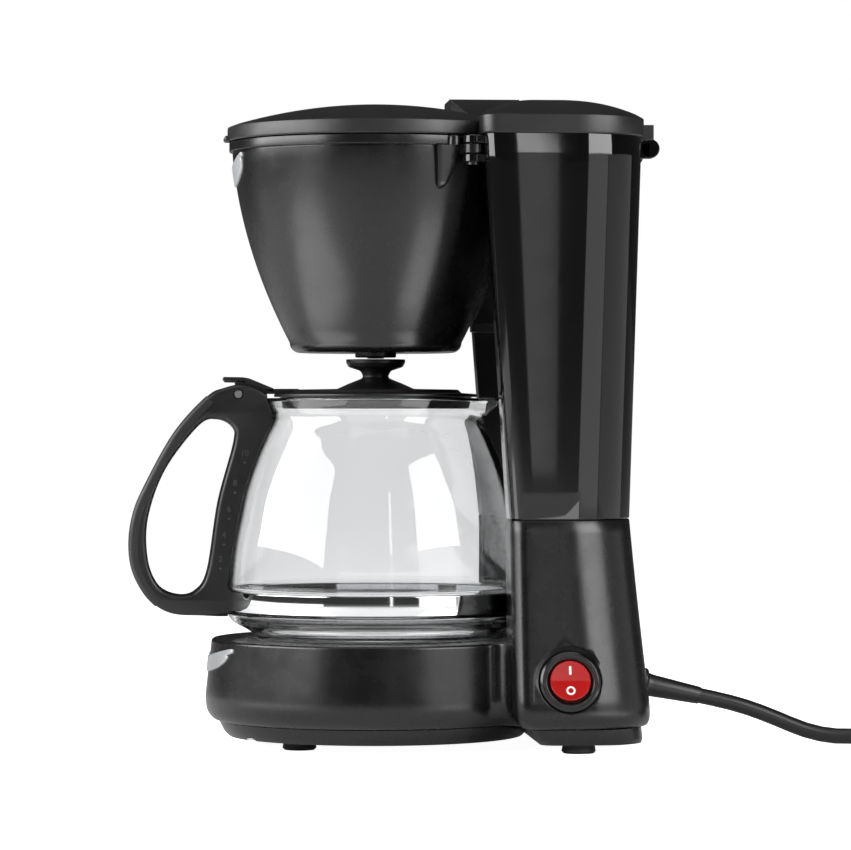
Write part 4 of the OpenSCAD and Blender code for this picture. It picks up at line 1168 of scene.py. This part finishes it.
# ---- Switch ----
def make_switch():
    place = at_switch()
    b = Build()
    profile = rounded([(9.0, -1.7, 0), (11.5, -1.7, 0.1), (11.5, 0.2, 0.9), (10.4, 0.9, 0.6),
        (9.0, 0.9, 0.5), (8.2, -0.2, 0.4), (8.2, -1.69, 0), (9.0, -1.7, 0)], 5)
    b.turned(profile, 96, place)
    piece("bezel_ring", b, "machine", switch_black, ["switch_bezel"], 40)

    # The rocker: two shallow slopes meeting in a level valley, pressed in at the top
    pivot = Vector([v / MM for v in joint("rocker_tilt")["pos_m"]]) - Vector((0, BREW_Y, 0))
    tilt = Matrix.Translation(pivot) @ Matrix.Rotation(-SWITCH_TILT - math.radians(6), 4, "Y")
    tilt = tilt @ OUTWARDS
    r = 7.65

    def top(v):
        return 3.15 + 0.07 * abs(v)

    def ring_at(radius, below):
        spots = [(radius * math.cos(TAU * k / 64), radius * math.sin(TAU * k / 64)) for k in range(64)]
        return [(u, v, top(v) - below) for u, v in spots]

    rocker = Build()
    rows = [[(u, v, -1.1) for u, v, z in ring_at(r, 0)], ring_at(r, 0.25), ring_at(r - 0.25, 0)]
    rows += [ring_at(scale * r, 0) for scale in (0.85, 0.65, 0.45, 0.25, 0.1)]
    rocker.loft(rows)
    body = Build()
    body.take(rocker, tilt)
    piece("rocker_cap", body, "rocker", rocker_red, ["rocker"], 25)

    marks = Build()
    bar = Build()
    bar.box(-0.42, 0.42, 2.3, 5.5, 0, 0.14, 0.03)
    ring = Build()
    ring.lathe([(1.05, 0), (1.7, 0), (1.7, 0.14), (1.05, 0.14)], 32, closed=True, centre=(0, -3.9))
    for part in (bar, ring):
        part.points = [(u, v, z + top(v) - 0.05) for u, v, z in part.points]
        marks.take(part, tilt)
    piece("rocker_marks", marks, "rocker", white_mark, (), 30)


make_switch()


# ---- Strain relief and plug ----
def make_relief():
    b = Build()
    profile = rounded([(0, -7, 0), (4.9, -7, 0.3), (4.9, 0.4, 0.1), (6.2, 0.5, 0.4), (6.2, 2.4, 1.0),
        (4.6, 3.0, 0.6), (4.3, 5, 0.6), (3.35, 24, 0.2), (0, 24, 0)], 4)
    b.turned(profile, 64, relief_place())
    return piece("relief_sleeve", b, "machine", cord_black, ["strain_relief"], 40)


def make_plug():
    """A moulded two-pin plug with an earth pin: a waisted body whose grip carries shallow ribs."""
    b = Build()
    sections = [(0, 3.9, 3.9), (1, 4.2, 4.2), (20, 5.2, 5.0)]
    for k in range(4):
        sections[-1:-1] = [(4 + 4 * k, 4.5, 4.5), (4.6 + 4 * k, 3.9, 3.9), (6.4 + 4 * k, 3.9, 3.9),
            (7.0 + 4 * k, 4.5, 4.5)]
    sections = sorted(sections) + [(22, 8.5, 6.0), (25, 12, 6.9), (30, 14.6, 7.8), (34, 16.4, 8.3),
        (41, 16.8, 8.4), (43.2, 16.4, 8.1), (44, 15.6, 7.5)]
    loops = []
    for along, half_y, half_z in sections:
        loop = []
        for k in range(64):
            a = TAU * k / 64
            c, s = math.cos(a), math.sin(a)
            power = 2 / 2.7 if along > 21 else 1.0
            loop.append((COIL_END_X - along, PLUG_Y + half_y * math.copysign(abs(c) ** power, c),
                PLUG_Z + half_z * math.copysign(abs(s) ** power, s)))
        loops.append(loop)
    b.loft(loops)
    obj = new_object("plug_moulding", b, at_brew=False)
    return finish_piece(obj, "machine", cord_black, ["plug_body"], 35)


make_relief()
plug = make_plug()


# ---- Floor, world and lights ----
def seen_directly(tree):
    """1 where a ray comes from the camera or through glass, 0 where it is a reflection or fill light."""
    path = add_node(tree, "LightPath")
    either = add_node(tree, "Math", path, "Is Camera Ray", 0)
    either.operation = "MAXIMUM"
    tree.links.new(path.outputs["Is Transmission Ray"], either.inputs[1])
    return either


def make_floor():
    """A pale table that runs to a white horizon, with only a trace of shadow."""
    mesh = bpy.data.meshes.new("floor")
    size = 60.0
    mesh.from_pydata([(-size, -size, 0), (size, -size, 0), (size, size, 0), (-size, size, 0)], [],
        [(0, 1, 2, 3)])
    obj = bpy.data.objects.new("floor", mesh)
    bpy.context.scene.collection.objects.link(obj)
    mat = bpy.data.materials.new("pale_floor")
    mat.use_nodes = True
    tree = mat.node_tree
    shader = tree.nodes["Principled BSDF"]
    settings = {"Base Color": (0.75, 0.75, 0.75, 1), "Roughness": 0.9, "Specular IOR Level": 0.0,
        "Emission Color": (1, 1, 1, 1)}
    for key, value in settings.items():
        shader.inputs[key].default_value = value
    glow = add_node(tree, "MapRange", seen_directly(tree), "Value", "Value", To_Min=FLOOR_FILL,
        To_Max=FLOOR_GLOW)
    tree.links.new(glow.outputs["Result"], shader.inputs["Emission Strength"])
    mesh.materials.append(mat)


def make_world():
    world = bpy.data.worlds.new("studio")
    bpy.context.scene.world = world
    world.use_nodes = True
    tree = world.node_tree
    tree.nodes.clear()
    level = add_node(tree, "MapRange", seen_directly(tree), "Value", "Value", To_Min=WORLD_FILL,
        To_Max=1.0)
    back = add_node(tree, "Background", level, "Result", "Strength", Color=(1, 1, 1, 1))
    add_node(tree, "OutputWorld", back, "Background", "Surface")


def light_panel(name, width, depth, radiance):
    """A rectangular light of a given brightness. The camera doesn't see it, even through the glass."""
    data = bpy.data.lights.new(name, "AREA")
    data.shape = "RECTANGLE"
    data.size = width
    data.size_y = depth
    data.energy = radiance * math.pi * width * depth
    obj = bpy.data.objects.new(name, data)
    bpy.context.scene.collection.objects.link(obj)
    obj.visible_camera = False
    obj.visible_transmission = False
    return obj


def soft_box(name, azimuth_0, azimuth_1, low, high, distance, radiance):
    """An upright panel between two azimuths (0 is in front, 90 on the switch side)."""
    half = math.radians(azimuth_1 - azimuth_0) / 2
    a = math.radians((azimuth_0 + azimuth_1) / 2)
    obj = light_panel(name, 2 * distance * math.tan(half), high - low, radiance)
    obj.location = (distance * math.sin(a), -distance * math.cos(a), (low + high) / 2)
    obj.rotation_euler = (math.pi / 2, 0, a)


def floor_card(name, azimuth, distance, width, depth, radiance):
    """A panel lying on the table and facing up. The overhanging basket wall mirrors it."""
    a = math.radians(azimuth)
    obj = light_panel(name, width, depth, radiance)
    obj.location = (distance * math.sin(a), -distance * math.cos(a), 0.002)
    obj.rotation_euler = (math.pi, 0, a)


def top_box(name, x, y, height, width, depth, radiance):
    obj = light_panel(name, width, depth, radiance)
    obj.location = (x, y, height)
    obj.rotation_euler = (Vector((0, 0, 0.1)) - obj.location).to_track_quat("-Z", "Y").to_euler()


# What the floor and world give to reflections, and how bright the camera sees the floor
FLOOR_FILL = 0.08
FLOOR_GLOW = 0.97
WORLD_FILL = 0.04
make_floor()
make_world()
soft_box("left_box", -20, 46, 0.24, 0.9, 0.95, 8.0)
soft_box("band_strip", -29, 46, 0.0, 0.05, 0.95, 1.5)
soft_box("near_strip", 96.9, 98.9, 0.01, 0.33, 1.2, 1.2)
soft_box("column_strip", 96.9, 98.9, 0.34, 0.75, 1.2, 6.0)
soft_box("low_box", 119, 150, 0.0, 0.315, 1.0, 1.3)
soft_box("high_box", 119, 156, 0.32, 0.9, 1.0, 8.0)
soft_box("rear_box", 151, 200, 0.0, 0.315, 1.0, 0.6)
floor_card("left_card", 25, 0.5, 0.28, 0.6, 2.8)
floor_card("right_card", 136, 0.36, 0.18, 0.36, 3.0)
top_box("top_box", 0.3, 0.0, 1.3, 1.2, 1.2, 1.2)

bpy.context.scene.view_settings.view_transform = "Standard"
